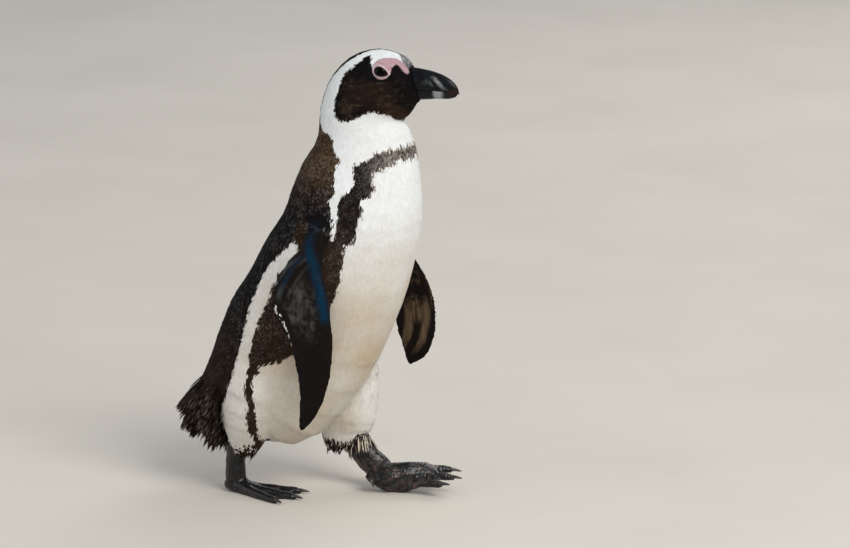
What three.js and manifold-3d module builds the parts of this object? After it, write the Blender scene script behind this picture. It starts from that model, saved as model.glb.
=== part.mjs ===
// African penguin at life size, caught in mid-step: its weight is on the right foot and the left
// foot is about to come down flat. Millimetres, +Z up, +X the way the bird faces, +Y its left.
// The body is one loft through slanted rings, parted by thin gaps into tail, trunk, neck and head.

import * as THREE from 'three';
import { mergeVertices } from 'three/addons/utils/BufferGeometryUtils.js';
import Module from 'manifold-3d';

const wasm = await Module();
wasm.setup();

// ---------------------------------------------------------------- driving dimensions

const GAP = 0.3; // clearance between two neighbouring solids
const SIDE_LEAN = 0.09; // the body leans over the right foot, in mm for each mm of height
const FORWARD_LEAN = 0.033;
const STRETCH = 1.008; // makes the leaning body as tall as the upright one it is drawn as

const EYE = { x: 86.5, y: 22.6, z: 494, radius: 9.2 };

// The rings of the body. Each crosses the middle plane at a point of the back and a point of the
// front, both [x, z]. `half` is its half width, `widest` says where from back (0) to front (1) that
// width is, and `square` is the power of its superellipse, 2 for an ellipse.
const BODY_RINGS = [
  { name: 'tail tip', back: [-166, 88], front: [-162, 77], half: 9, widest: 0.5, square: 2 },
  { name: 'tail end', back: [-159, 98], front: [-152, 63], half: 23, widest: 0.5, square: 2 },
  { name: 'tail fan', back: [-148, 111], front: [-137, 56], half: 32, widest: 0.5, square: 2 },
  { name: 'tail root', back: [-134, 128], front: [-117, 56], half: 38, widest: 0.5, square: 2 },
  { name: 'rump', back: [-121, 156], front: [-72, 56], half: 55, widest: 0.5, square: 2.1 },
  { name: 'vent', back: [-108, 192], front: [-4, 58], half: 70, widest: 0.5, square: 2.2 },
  { name: 'belly', back: [-93, 226], front: [58, 128], half: 77, widest: 0.48, square: 2.25 },
  { name: 'flank', back: [-73, 257], front: [97, 212], half: 78, widest: 0.47, square: 2.25 },
  { name: 'breast', back: [-53, 295], front: [115, 272], half: 77, widest: 0.46, square: 2.2 },
  { name: 'shoulder', back: [-33, 327], front: [123.5, 322], half: 72, widest: 0.45, square: 2.2 },
  { name: 'collar', back: [-23, 357], front: [123, 366], half: 61, widest: 0.46, square: 2.1 },
  { name: 'neck base', back: [-12.5, 384], front: [119, 402], half: 50, widest: 0.47, square: 2 },
  { name: 'neck', back: [3.5, 411], front: [111, 424], half: 43, widest: 0.5, square: 2 },
  { name: 'jowl', back: [8, 448], front: [104.5, 436], half: 39, widest: 0.5, square: 2 },
  { name: 'nape', back: [20, 482], front: [110.5, 441.5], half: 38, widest: 0.52, square: 2 },
  { name: 'crown', back: [44, 507], front: [115, 447.5], half: 36, widest: 0.52, square: 2 },
  { name: 'forehead', back: [74, 516.5], front: [118.5, 453.5], half: 30, widest: 0.52, square: 2 },
  { name: 'brow', back: [100, 512.5], front: [122, 458], half: 22, widest: 0.54, square: 2 },
  { name: 'bill base', back: [113.5, 500.5], front: [127, 461], half: 11, widest: 0.55, square: 2 },
];
const PARTING = { tail: 2.9, neck: 10.6, head: 12.6 }; // ring numbers where the body is parted

// Where a limb's rows run, each as [x, y, z, half chord, half thickness].
const RIGHT_THIGH = [
  [-40, -38, 172, 40, 30], [-52, -44, 132, 43, 34], [-61, -44, 100, 38, 31],
  [-66, -42, 76, 30, 24], [-70, -40, 59, 21, 17], [-74, -39, 48, 14, 12],
];
const LEFT_THIGH = [
  [6, 32, 180, 42, 34], [17, 38, 142, 44, 36], [21, 40, 106, 42, 33],
  [24, 37, 80, 37, 27], [25, 34, 61, 31, 19], [30, 32, 48, 24, 12],
];
const RIGHT_TARSUS = [
  [-77, -42, 68, 12, 11], [-80, -41.5, 50, 12, 10], [-81, -41, 32, 11.5, 9.5],
  [-81, -41, 17, 12, 10.5], [-80, -41, 7, 11, 10],
];
const LEFT_TARSUS = [
  [35, 33, 66, 15, 12], [41.5, 32, 50, 15.5, 12.5], [51.5, 31, 35.5, 15.5, 13],
  [65, 30, 25.5, 15.5, 12.5], [76, 29, 20, 12, 10],
];

// A flipper, from the shoulder to the tip: its straight line, the way its leading edge faces, and
// how far it bows between the two ends.
// Its rows: share of the length, sweep towards the leading edge, half chord, half thickness. The
// left hand is spread flatter than the right one, which makes it broader.
const FLIPPER_ARM = [
  [0, 0, 20, 3], [0.035, -1, 18.5, 9], [0.07, -2, 15.5, 11.5], [0.13, -4.5, 12, 10],
  [0.18, -8, 15, 8.4], [0.243, -12.8, 23, 7.4], [0.315, -13.6, 30, 7], [0.387, -12.4, 34, 6.4],
];
const RIGHT_HAND = [
  [0.44, -6.5, 31.5, 6], [0.5, -0.5, 28, 5.6], [0.57, 4.8, 26, 5.2], [0.64, 8, 23.8, 4.8],
  [0.745, 11, 19.5, 4.2], [0.864, 9.8, 14, 3.4], [0.945, 4.8, 8.4, 2.6], [0.985, 1.5, 4, 1.8],
  [1, 0, 1.4, 1],
];
const LEFT_HAND = [
  [0.44, -8, 33, 6], [0.5, -3, 31, 5.6], [0.57, 1, 30, 5.2], [0.64, 3, 29, 4.8],
  [0.745, 4.8, 27.2, 4.2], [0.8, 5.2, 25.6, 3.9], [0.864, 5.8, 21.8, 3.4], [0.92, 4.2, 16.6, 2.9],
  [0.955, 2, 11.6, 2.5], [0.985, 0.4, 5.8, 1.8], [1, 0, 2, 1],
];
const RIGHT_FLIPPER = {
  root: [30, -68, 330], tip: [21, -105, 95], ahead: [1, 0, 0], bow: [0, -3, 0], hand: RIGHT_HAND,
};
const LEFT_FLIPPER = {
  root: [36, 66, 328], tip: [62, 150, 120], ahead: [1, -0.1, 0], bow: [14, 24, 0], hand: LEFT_HAND,
};

// The bill: rows along it, as x, the ridge's height, the gape's height, the chin's height and the
// half width. The upper half ends in a hook over the lower one.
const BILL_ROWS = [
  [106, 497, 473.5, 461, 8.6], [118, 497, 473.5, 461, 8.8], [131, 495.5, 473.5, 461.8, 8],
  [142, 493.2, 473.5, 463.2, 7.2], [150.5, 490.5, 473.5, 463.6, 6.5], [158, 487, 473.2, 464, 5.6],
  [164, 482, 472.6, 466, 4.4], [167.6, 476.8, 471.8, 469, 3.2],
];
const BILL_HOOK = [170, 469.5]; // x and z of the hooked tip
const BILL_SHUT = 0.35; // half the gap along the closed gape

// A foot in its own frame: the ankle over the origin, the sole at z = 0, the middle toe along +x.
const TOE_LENGTH = { outer: 76, middle: 80, inner: 76 };
const TOE_ROWS = [ // share of the length, height of the centre, half width, half height
  [0, 6.6, 8, 7.4], [0.28, 6, 7, 6.8], [0.42, 5, 5.8, 5.8], [0.56, 5, 6.4, 5.8],
  [0.7, 4.2, 5, 4.8], [0.84, 4.3, 5.4, 4.9], [0.95, 3.8, 4.4, 4], [1, 3.4, 2.2, 2.4],
];
const WEB = { reach: 0.93, scallop: 0.15, top: 5.6, bottom: 1.2, thinning: 1.8 };
const CLAW = { length: 13, sunk: 4, half: 2.7, height: 4.2, drop: 1.4 };
const HALLUX = { length: 14, half: 3.4, angle: 52, drop: 3 }; // the small inner hind toe
const HALLUX_CLAW = 0.55; // its claw against the others
const SOLE_TRIM = 0.7; // how much of the rounded toes the floor flattens

// How each foot stands: where the ankle is, its turns and the spread between its toes in degrees.
// `heel` is the pad below and behind the tarsus, as rows x, y, z, half width, half height, and
// `hallux` is where the small inner hind toe leaves it.
const RIGHT_STEP = {
  side: -1, ankle: [-80.5, -41.5, 0], yaw: -11, spread: 21, roll: 0, rise: 0, hallux: [4, -5.5, 9],
  heel: [
    [-13, 0, 8, 4, 3], [-10, 0, 8, 9, 7.5], [0, 0, 8.4, 12, 9], [12, 0, 7.4, 12, 8], [24, 0, 6, 10, 6],
  ],
};
const LEFT_STEP = {
  side: 1, ankle: [78, 25, 2.2], yaw: 3, spread: 17, roll: 38, rise: 14, hallux: [-17, -6, 28],
  heel: [
    [-19, 0, 26, 5, 4], [-14, 0, 25, 12, 9.5], [-4, 0.5, 20, 15.5, 12.5], [8, 1, 17, 17, 17],
    [24, 3, 14, 16, 15], [44, 5, 8, 13, 7.5], [58, 5, 5.5, 10, 4],
  ],
};
const ROLL_FADE = 92; // the roll is full at the ankle and gone this far along the foot
const RISE = [13, 50]; // the stretch of the foot over which the toes rise by `rise`

// ---------------------------------------------------------------- materials

function finish(color, roughness) {
  return new THREE.MeshStandardMaterial({ color, roughness, metalness: 0 });
}

const WHITE_PLUMAGE = '#e6e1d8';
const DARK_PLUMAGE = '#2a2625';
const BARE_SKIN = '#3a3634';
const HORN = '#1f1f21';
const EYE_BROWN = '#1c100b';

// ---------------------------------------------------------------- geometry tools

// One value of a smooth (Catmull-Rom) curve through rows of numbers; t = 0 is the first row.
function alongRows(rows, t) {
  const last = rows.length - 1;
  const i = Math.min(Math.max(Math.floor(t), 0), last - 1);
  const f = t - i;
  return rows[0].map((_, k) => {
    const b = rows[i][k];
    const c = rows[i + 1][k];
    const a = i > 0 ? rows[i - 1][k] : 2 * b - c;
    const d = i + 2 <= last ? rows[i + 2][k] : 2 * c - b;
    const linear = (c - a) * f;
    const square = (2 * a - 5 * b + 4 * c - d) * f ** 2;
    const cube = (3 * b - a - 3 * c + d) * f ** 3;
    return 0.5 * (2 * b + linear + square + cube);
  });
}

// The body's stance: points drawn for an upright bird are leant over its right foot.
function lean(p) {
  return new THREE.Vector3(p.x + FORWARD_LEAN * p.z, p.y - SIDE_LEAN * p.z, p.z * STRETCH);
}

// A closed geometry through rings with equal numbers of points, capped at both ends.
function closedLoft(rings) {
  const sides = rings[0].length;
  const points = rings.flat();
  const index = [];
  for (let ring = 0; ring + 1 < rings.length; ring++) {
    for (let side = 0; side < sides; side++) {
      const a = ring * sides + side;
      const b = ring * sides + ((side + 1) % sides);
      index.push(a, b, a + sides, b, b + sides, a + sides);
    }
  }
  for (const end of [0, rings.length - 1]) {
    const centre = new THREE.Vector3();
    rings[end].forEach((p) => centre.addScaledVector(p, 1 / sides));
    points.push(centre);
    for (let side = 0; side < sides; side++) {
      const a = end * sides + side;
      const b = end * sides + ((side + 1) % sides);
      index.push(...(end === 0 ? [b, a, points.length - 1] : [a, b, points.length - 1]));
    }
  }
  const geometry = new THREE.BufferGeometry().setFromPoints(points);
  geometry.setIndex(signedVolume(points, index) < 0 ? index.reverse() : index);
  return geometry;
}

function signedVolume(points, index) {
  let sum = 0;
  for (let i = 0; i < index.length; i += 3) {
    const [a, b, c] = [points[index[i]], points[index[i + 1]], points[index[i + 2]]];
    sum += a.dot(new THREE.Vector3().crossVectors(b, c));
  }
  return sum / 6;
}

// A superellipse's two coordinates at an angle.
function superellipse(angle, power) {
  const c = Math.cos(angle);
  const s = Math.sin(angle);
  return [Math.sign(c) * Math.abs(c) ** (2 / power), Math.sign(s) * Math.abs(s) ** (2 / power)];
}

// A built-in geometry as one closed mesh, with positions only and each corner once.
function shared(geometry) {
  geometry.deleteAttribute('normal');
  geometry.deleteAttribute('uv');
  return mergeVertices(geometry);
}

function toManifold(geometry) {
  const vertProperties = new Float32Array(geometry.attributes.position.array);
  const triVerts = new Uint32Array(geometry.index.array);
  return new wasm.Manifold(new wasm.Mesh({ numProp: 3, vertProperties, triVerts }));
}

function toGeometry(manifold) {
  const mesh = manifold.getMesh();
  const geometry = new THREE.BufferGeometry();
  geometry.setAttribute('position', new THREE.BufferAttribute(mesh.vertProperties, 3));
  geometry.setIndex(new THREE.BufferAttribute(mesh.triVerts, 1));
  return geometry;
}

// ---------------------------------------------------------------- body

const ringRows = BODY_RINGS.map((r) => [...r.back, ...r.front, r.half, r.widest, r.square]);

// The body between two ring numbers, `grow` mm larger all round.
function bodyLoft(from, to, steps, sides, grow = 0) {
  const rings = [];
  for (let step = 0; step <= steps; step++) {
    const row = alongRows(ringRows, from + ((to - from) * step) / steps);
    const [backX, backZ, frontX, frontZ, half, widest, square] = row;
    const depth = new THREE.Vector3(frontX - backX, 0, frontZ - backZ);
    const ring = [];
    for (let side = 0; side < sides; side++) {
      const [towardsBack, sideways] = superellipse((2 * Math.PI * side) / sides, square);
      const share = towardsBack > 0 ? widest * (1 - towardsBack) : widest - (1 - widest) * towardsBack;
      const p = new THREE.Vector3(backX, (half + grow) * sideways, backZ).addScaledVector(depth, share);
      ring.push(lean(p.addScaledVector(depth, (-grow * towardsBack) / depth.length())));
    }
    rings.push(ring);
  }
  return closedLoft(rings);
}

const lastRing = BODY_RINGS.length - 1;
const halfCut = 0.005; // ring numbers on each side of a parting, about half of GAP

function tail() {
  return bodyLoft(0, PARTING.tail - halfCut, 7, 24);
}

function trunk(grow = 0) {
  return bodyLoft(PARTING.tail + halfCut, PARTING.neck - halfCut, 20, 28, grow);
}

function neck() {
  return bodyLoft(PARTING.neck + halfCut, PARTING.head - halfCut, 5, 28);
}

const limbCutter = toManifold(trunk(GAP)); // what cuts back the limbs where they join the trunk

// ---------------------------------------------------------------- limbs

// A closed tube through rows [x, y, z, half chord, half thickness], with its chord towards `ahead`.
function limb(rows, ahead, steps, sides, grow = 0) {
  const rings = [];
  for (let step = 0; step <= steps; step++) {
    const t = ((rows.length - 1) * step) / steps;
    const [x, y, z, halfChord, halfThick] = alongRows(rows, t);
    const before = alongRows(rows, t - 0.01);
    const after = alongRows(rows, t + 0.01);
    const along = new THREE.Vector3(after[0] - before[0], after[1] - before[1], after[2] - before[2]);
    along.normalize();
    const chord = ahead.clone().addScaledVector(along, -ahead.dot(along)).normalize();
    const thick = new THREE.Vector3().crossVectors(along, chord);
    const ring = [];
    for (let side = 0; side < sides; side++) {
      const angle = (2 * Math.PI * side) / sides;
      const p = new THREE.Vector3(x, y, z).addScaledVector(chord, (halfChord + grow) * Math.cos(angle));
      ring.push(p.addScaledVector(thick, (halfThick + grow) * Math.sin(angle)));
    }
    rings.push(ring);
  }
  return rings;
}

const AHEAD = new THREE.Vector3(1, 0, 0);
const UP = new THREE.Vector3(0, 0, 1);

function leaningLimb(rows, ahead, steps, sides, grow) {
  return toManifold(closedLoft(limb(rows, ahead, steps, sides, grow).map((ring) => ring.map(lean))));
}

function thigh(rows) {
  return toGeometry(leaningLimb(rows, AHEAD, 8, 18).subtract(limbCutter));
}

function tarsus(rows, thighRows) {
  const shin = leaningLimb(rows, AHEAD, 7, 12);
  return toGeometry(shin.subtract(leaningLimb(thighRows, AHEAD, 8, 18, GAP)).subtract(limbCutter));
}

function flipper({ root, tip, ahead, bow, hand }) {
  const from = new THREE.Vector3(...root);
  const line = new THREE.Vector3(...tip).sub(from);
  const leading = new THREE.Vector3(...ahead);
  leading.addScaledVector(line, -line.dot(leading) / line.lengthSq()).normalize();
  const rows = [...FLIPPER_ARM, ...hand].map(([share, sweep, halfChord, halfThick]) => {
    const centre = from.clone().addScaledVector(line, share).addScaledVector(leading, sweep);
    centre.addScaledVector(new THREE.Vector3(...bow), Math.sin(Math.PI * share));
    return [centre.x, centre.y, centre.z, halfChord, halfThick];
  });
  return toGeometry(leaningLimb(rows, leading, 20, 12).subtract(limbCutter));
}

// ---------------------------------------------------------------- head

// One half of the bill: its flat gape faces the other half.
function billHalf(upper, grow = 0) {
  const sides = 14;
  const rings = [];
  const rows = [...BILL_ROWS];
  if (upper) rows.push([BILL_HOOK[0], BILL_HOOK[1] + 3.5, BILL_HOOK[1], 0, 1.4]);
  for (const [x, ridge, gape, chin, half] of rows) {
    const flat = upper ? gape + BILL_SHUT - grow : gape - BILL_SHUT + grow;
    const edge = upper ? ridge + grow : chin - grow;
    const ring = [];
    for (let side = 0; side < sides; side++) {
      const angle = (Math.PI * side) / (sides - 1);
      const rise = Math.max(0, Math.sin(angle)) ** 0.8;
      ring.push(new THREE.Vector3(x, (half + grow) * Math.cos(angle), flat + (edge - flat) * rise));
    }
    rings.push(ring.map(lean));
  }
  return toManifold(closedLoft(rings));
}

function eyeball(side, grow = 0) {
  const ball = new THREE.SphereGeometry(EYE.radius + grow, 14, 9);
  const centre = lean(new THREE.Vector3(EYE.x, side * EYE.y, EYE.z));
  return shared(ball).translate(centre.x, centre.y, centre.z);
}

function head() {
  let solid = toManifold(bodyLoft(PARTING.head + halfCut, lastRing, 14, 24));
  for (const upper of [true, false]) solid = solid.subtract(billHalf(upper, GAP));
  for (const side of [-1, 1]) solid = solid.subtract(toManifold(eyeball(side, GAP)));
  return toGeometry(solid);
}

// ---------------------------------------------------------------- feet

const TOES = { outer: 1, middle: 0, inner: -1 }; // turns away from the middle toe, in spreads

// Puts a point of a foot's own frame where that foot stands.
function stepPlacement({ side, ankle, yaw, roll, rise }) {
  return (p) => {
    const q = new THREE.Vector3(p.x, side * p.y, p.z);
    const rollHere = roll * THREE.MathUtils.clamp(1 - p.x / ROLL_FADE, 0, 1);
    q.applyAxisAngle(AHEAD, THREE.MathUtils.degToRad(rollHere));
    q.z += rise * THREE.MathUtils.smoothstep(p.x, ...RISE);
    return q.applyAxisAngle(UP, THREE.MathUtils.degToRad(yaw)).add(new THREE.Vector3(...ankle));
  };
}

function inPlace(rings, place) {
  return toManifold(closedLoft(rings.map((ring) => ring.map((p) => place(p)))));
}

// A point of the foot's frame at a distance along a toe.
function onToe(angle, distance, height) {
  return [distance * Math.cos(angle), distance * Math.sin(angle), height];
}

function toeRings(angle, length) {
  const ahead = new THREE.Vector3(-Math.sin(angle), Math.cos(angle), 0);
  const rows = TOE_ROWS.map(([share, height, halfWide, halfHigh]) => [
    ...onToe(angle, share * length, height - SOLE_TRIM), halfWide, halfHigh,
  ]);
  return limb(rows, ahead, 8, 8);
}

// A claw that starts inside the end of a toe: `root` is the toe's own root.
function clawRings(root, angle, toeEnd, height, scale, grow) {
  const ahead = new THREE.Vector3(-Math.sin(angle), Math.cos(angle), 0);
  const start = toeEnd - CLAW.sunk * scale;
  const rows = [0, 0.35, 0.7, 1].map((share) => {
    const half = CLAW.half * scale * Math.sqrt(1.05 - share);
    const [x, y, z] = onToe(angle, start + share * CLAW.length * scale, height - CLAW.drop * share ** 2);
    return [root[0] + x, root[1] + y, root[2] + z, half, half];
  });
  return limb(rows, ahead, 3, 6, grow);
}

// The webs: a thin fan between the outer and the inner toe, scalloped between the toes.
function webRings(spread) {
  const rings = [];
  const steps = 8;
  const stops = [0, 0.35, 0.7, 1];
  for (let step = 0; step <= steps; step++) {
    const turn = 1 - (2 * step) / steps;
    const angle = THREE.MathUtils.degToRad(turn * spread);
    const length = TOE_LENGTH.middle + (turn > 0 ? TOE_LENGTH.outer - TOE_LENGTH.middle
      : TOE_LENGTH.middle - TOE_LENGTH.inner) * turn;
    const reach = length * (WEB.reach - WEB.scallop * Math.sin(Math.PI * turn) ** 2);
    const over = stops.map((s) => new THREE.Vector3(...onToe(angle, s * reach, WEB.top - WEB.thinning * s)));
    const under = stops.map((s) => new THREE.Vector3(...onToe(angle, s * reach, WEB.bottom)));
    over[0].x -= 1;
    under[0].x -= 1;
    over[0].y += 2 * turn;
    under[0].y += 2 * turn;
    rings.push([...over, ...under.reverse()]);
  }
  return rings;
}

const halluxAngle = -THREE.MathUtils.degToRad(HALLUX.angle);

function halluxRings(start) {
  const rows = [0, 0.5, 0.85, 1].map((share) => {
    const half = HALLUX.half * Math.sqrt(1.1 - share);
    const [x, y, z] = onToe(halluxAngle, share * HALLUX.length, -HALLUX.drop * share);
    return [start[0] + x, start[1] + y, start[2] + z, half, half];
  });
  return limb(rows, new THREE.Vector3(-Math.sin(halluxAngle), Math.cos(halluxAngle), 0), 3, 6);
}

const FLOOR = { side: 600, thick: 40 }; // what flattens the soles and the claws' undersides
const slab = new THREE.BoxGeometry(FLOOR.side, FLOOR.side, FLOOR.thick);
const floor = toManifold(shared(slab).translate(0, 0, -FLOOR.thick / 2));

function clawSolid(step, toe, grow = 0) {
  const place = stepPlacement(step);
  if (toe === 'hallux') {
    const rings = clawRings(step.hallux, halluxAngle, HALLUX.length, -HALLUX.drop, HALLUX_CLAW, grow);
    return inPlace(rings, place);
  }
  const angle = THREE.MathUtils.degToRad(TOES[toe] * step.spread);
  return inPlace(clawRings([0, 0, 0], angle, TOE_LENGTH[toe], CLAW.height, 1, grow), place);
}

const CLAWED = ['outer', 'middle', 'inner', 'hallux'];

function foot(step, tarsusRows) {
  const place = stepPlacement(step);
  const heel = limb(step.heel, new THREE.Vector3(0, 1, 0), 6, 10);
  let solid = inPlace(heel, place).add(inPlace(webRings(step.spread), place));
  for (const toe of Object.keys(TOES)) {
    const angle = THREE.MathUtils.degToRad(TOES[toe] * step.spread);
    solid = solid.add(inPlace(toeRings(angle, TOE_LENGTH[toe]), place));
  }
  solid = solid.add(inPlace(halluxRings(step.hallux), place)).subtract(floor);
  for (const toe of CLAWED) solid = solid.subtract(clawSolid(step, toe, GAP));
  return toGeometry(solid.subtract(leaningLimb(tarsusRows, AHEAD, 7, 12, GAP)));
}

// ---------------------------------------------------------------- the bird

const bird = new THREE.Group();

function addPart(name, geometry, material) {
  const mesh = new THREE.Mesh(geometry, material);
  mesh.name = name;
  bird.add(mesh);
}

addPart('tail', tail(), finish(DARK_PLUMAGE, 0.8));
addPart('trunk', trunk(), finish(WHITE_PLUMAGE, 0.85));
addPart('neck', neck(), finish(WHITE_PLUMAGE, 0.85));
addPart('head', head(), finish(DARK_PLUMAGE, 0.8));
addPart('bill_upper', toGeometry(billHalf(true)), finish(HORN, 0.35));
addPart('bill_lower', toGeometry(billHalf(false)), finish(HORN, 0.35));
addPart('eye_right', eyeball(-1), finish(EYE_BROWN, 0.08));
addPart('eye_left', eyeball(1), finish(EYE_BROWN, 0.08));
addPart('flipper_right', flipper(RIGHT_FLIPPER), finish(DARK_PLUMAGE, 0.6));
addPart('flipper_left', flipper(LEFT_FLIPPER), finish(DARK_PLUMAGE, 0.6));
addPart('thigh_right', thigh(RIGHT_THIGH), finish(WHITE_PLUMAGE, 0.85));
addPart('thigh_left', thigh(LEFT_THIGH), finish(WHITE_PLUMAGE, 0.85));
addPart('tarsus_right', tarsus(RIGHT_TARSUS, RIGHT_THIGH), finish(BARE_SKIN, 0.6));
addPart('tarsus_left', tarsus(LEFT_TARSUS, LEFT_THIGH), finish(BARE_SKIN, 0.6));
for (const [side, step, shin] of [
  ['right', RIGHT_STEP, RIGHT_TARSUS], ['left', LEFT_STEP, LEFT_TARSUS],
]) {
  addPart(`foot_${side}`, foot(step, shin), finish(BARE_SKIN, 0.6));
  for (const toe of CLAWED) {
    addPart(`claw_${side}_${toe}`, toGeometry(clawSolid(step, toe).subtract(floor)), finish(HORN, 0.4));
  }
}

// The part's origin is the middle of its box, on the floor.
const box = new THREE.Box3().setFromObject(bird);
const middle = box.getCenter(new THREE.Vector3());
bird.position.set(-middle.x, -middle.y, -box.min.z);

export default bird;
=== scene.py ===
"""African penguin in mid-stride at life size: one skin under a coat of separate feathers, with its
bill, eyes and claws, on a plain floor.

The bird is drawn upright in millimetres, +X ahead, +Y its left, +Z up, and `lean` puts such points
where the leaning bird stands, in metres."""

import math

import bmesh
import bpy
import numpy as np
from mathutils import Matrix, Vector
from mathutils.bvhtree import BVHTree


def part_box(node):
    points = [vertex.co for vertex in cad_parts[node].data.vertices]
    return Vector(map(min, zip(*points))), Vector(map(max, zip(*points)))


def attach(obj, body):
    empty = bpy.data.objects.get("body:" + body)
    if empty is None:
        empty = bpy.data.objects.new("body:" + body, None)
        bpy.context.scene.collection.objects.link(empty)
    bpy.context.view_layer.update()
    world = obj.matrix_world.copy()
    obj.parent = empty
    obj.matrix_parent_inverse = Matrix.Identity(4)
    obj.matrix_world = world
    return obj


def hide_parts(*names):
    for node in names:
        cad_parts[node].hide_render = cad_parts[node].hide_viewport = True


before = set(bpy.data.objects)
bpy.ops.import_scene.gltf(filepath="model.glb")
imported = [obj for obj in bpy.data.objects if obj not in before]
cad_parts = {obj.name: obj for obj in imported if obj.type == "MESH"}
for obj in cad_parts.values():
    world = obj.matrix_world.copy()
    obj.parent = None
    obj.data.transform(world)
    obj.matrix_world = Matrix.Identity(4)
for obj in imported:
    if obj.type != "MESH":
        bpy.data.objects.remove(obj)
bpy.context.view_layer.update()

bl_info = {
    "name": "African Penguin Model",
    "version": (1, 0, 0),
    "blender": (4, 5, 0),
    "location": "3D View > Sidebar > Penguin",
    "description": "Builds a walking African penguin around its packed frame",
    "category": "Add Mesh",
}

# ---------------------------------------------------------------- sizes and places

MM = 0.001
SIDE_LEAN = 0.09  # sideways and forwards lean, in mm for each mm of height
FORWARD_LEAN = 0.033
STRETCH = 1.008  # of heights, which makes up for the lean

EYE = (86.5, 22.6, 494.0)
EYE_AXIS = (0.2, 1.0, 0.13)  # the way the left eye looks
EYE_RADIUS = 10.0
EYE_SUNK = 0.7  # how far the ball's centre lies inside the socket's
CORNEA_BULGE = 0.35  # over the ball, in mm
EYE_OPENING = (6.9, 4.5)  # half length and half height of the almond between the lids
EYE_TILT = -19.0  # degrees; the front corner is the lower one

FLESH = (
    "tail", "trunk", "neck", "head", "flipper_right", "flipper_left", "thigh_right", "thigh_left",
    "tarsus_right", "tarsus_left", "foot_right", "foot_left",
)
KINDS = np.array([name.split("_")[0] for name in FLESH])
LEG_PARTS = ("tarsus", "foot")
SIDES = {"right": -1, "left": 1}

# How deep the skin lies under the outline, in mm, and how many rounds of smoothing it gets.
COAT_DEPTH = {
    "tail": 2.0, "trunk": 1.5, "neck": 1.3, "head": 0.8, "flipper": 0.5, "thigh": 1.5,
    "tarsus": 0.0, "foot": 0.0,
}
SMOOTHING = {
    "tail": 10, "trunk": 90, "neck": 70, "head": 44, "flipper": 12, "thigh": 50, "tarsus": 10,
    "foot": 2,
}
VOXEL = 1.9  # size of the skin's squares before they are divided
GAP_FILL = 0.2  # how far each node swells so that it meets the next
SKIN_ENDS = {"bill_upper": 112.0, "bill_lower": 121.0}  # the skin's last x under each horn
QUILL_ROOM = 9.0  # how far the tail's core stops short of its quills' tips
FLOOR_CLEARANCE = 0.02  # under the soles

# The middle line of the body from the tail's tip to the bill, side view [x, z].
SPINE = (
    (-168, 80), (-128, 92), (-74, 118), (-20, 176), (18, 245), (42, 320), (54, 392), (57, 436),
    (68, 468), (90, 484), (120, 481),
)

TAIL_HUB = (-60, 0, 200)  # the point in the rump from which the tail's feathers spread

# Markings, as outlines in side view [x, z]. Both sides of the bird carry the same ones.
MANTLE = (
    (-300, 470), (6, 464), (8, 447), (13, 430), (17, 424), (31, 419), (36, 410), (38, 402),
    (46, 393), (40, 384), (43, 372), (38, 365), (45, 360), (38, 350), (42, 337), (44, 326),
    (38, 314), (35, 303), (20, 287), (6, 292), (0, 301), (-6, 299), (-18, 287), (-31, 271),
    (-44, 252), (-52, 234), (-58, 210), (-64, 182), (-70, 160), (-77, 134), (-86, 110),
    (-100, 82), (-112, 40), (-300, 40),
)
BAND = (
    (140, 406), (115, 410), (103, 408), (88, 404), (73, 395), (62, 388), (65, 372), (62, 362),
    (51, 354), (49, 342), (51, 334), (48.5, 325), (42.5, 313), (37, 302), (22, 299), (0, 284),
    (-15, 265), (-26, 246), (-33, 228), (-44, 199), (-52, 183), (-55, 169), (-56, 145),
    (-55, 119), (-54, 105), (-58, 84), (-54, 71), (-55, 44),
    (-48, 44), (-45, 62), (-47, 76), (-45, 97), (-45, 111), (-47, 122), (-48, 136), (-44, 146),
    (-41, 157), (-23, 162), (-13, 162), (2, 173), (18, 183), (36, 208), (49, 243), (55, 264),
    (58, 279), (61, 303), (70, 306), (72, 325), (77, 338), (74, 351), (84, 355), (89, 364),
    (84, 374), (85, 381), (94, 386), (102, 392), (114, 396), (140, 394),
)
MASK = (
    (140, 441), (112, 439), (106, 432), (103, 437.5), (97.8, 443.3), (93.5, 445.2), (88.8, 447),
    (83.8, 448.6), (78.5, 448.8), (74.2, 447.9), (69.8, 446.1), (64.3, 442.5), (60.9, 441.2),
    (56.5, 439.4), (51.8, 437.4), (47.5, 436.5), (43.3, 437.3), (39.2, 439), (35.6, 443),
    (33.7, 449.5), (34.4, 459.4), (37.8, 471.7), (41, 482.8), (45.4, 491.7), (51.3, 496),
    (57.4, 501.6), (62.5, 505.5), (66, 509.1), (69.2, 509.9), (73.6, 506.8), (73.5, 503),
    (79, 495), (84, 494), (91, 496), (95.5, 499.5), (98.5, 503), (101.8, 504.4), (105.2, 502.2),
    (109.5, 496.8), (112.5, 494), (116, 496), (140, 498),
)
CROWN_HALF = 3.6  # half width of the dark line over the crown and down the nape
BARE_PATCH = (  # bare skin round the eye and over the lore
    (77.3, 497.5), (77, 501.1), (78.6, 504.6), (82.3, 507.5), (87, 508.9), (93.1, 509.3),
    (99.3, 508.6), (104.7, 506.1), (108.9, 502.2), (112.4, 497.7), (114.5, 493.9), (114, 491.7),
    (112.2, 492.5), (109.3, 495.9), (105.6, 500.1), (103.3, 502.1), (101.3, 502.7), (99.3, 500.9),
    (97.9, 497.9), (97.9, 494.3), (97, 491.2), (94.3, 488.3), (89.7, 486.8), (84.7, 487.5),
    (80.4, 490.9), (77.9, 494.4),
)

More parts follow.
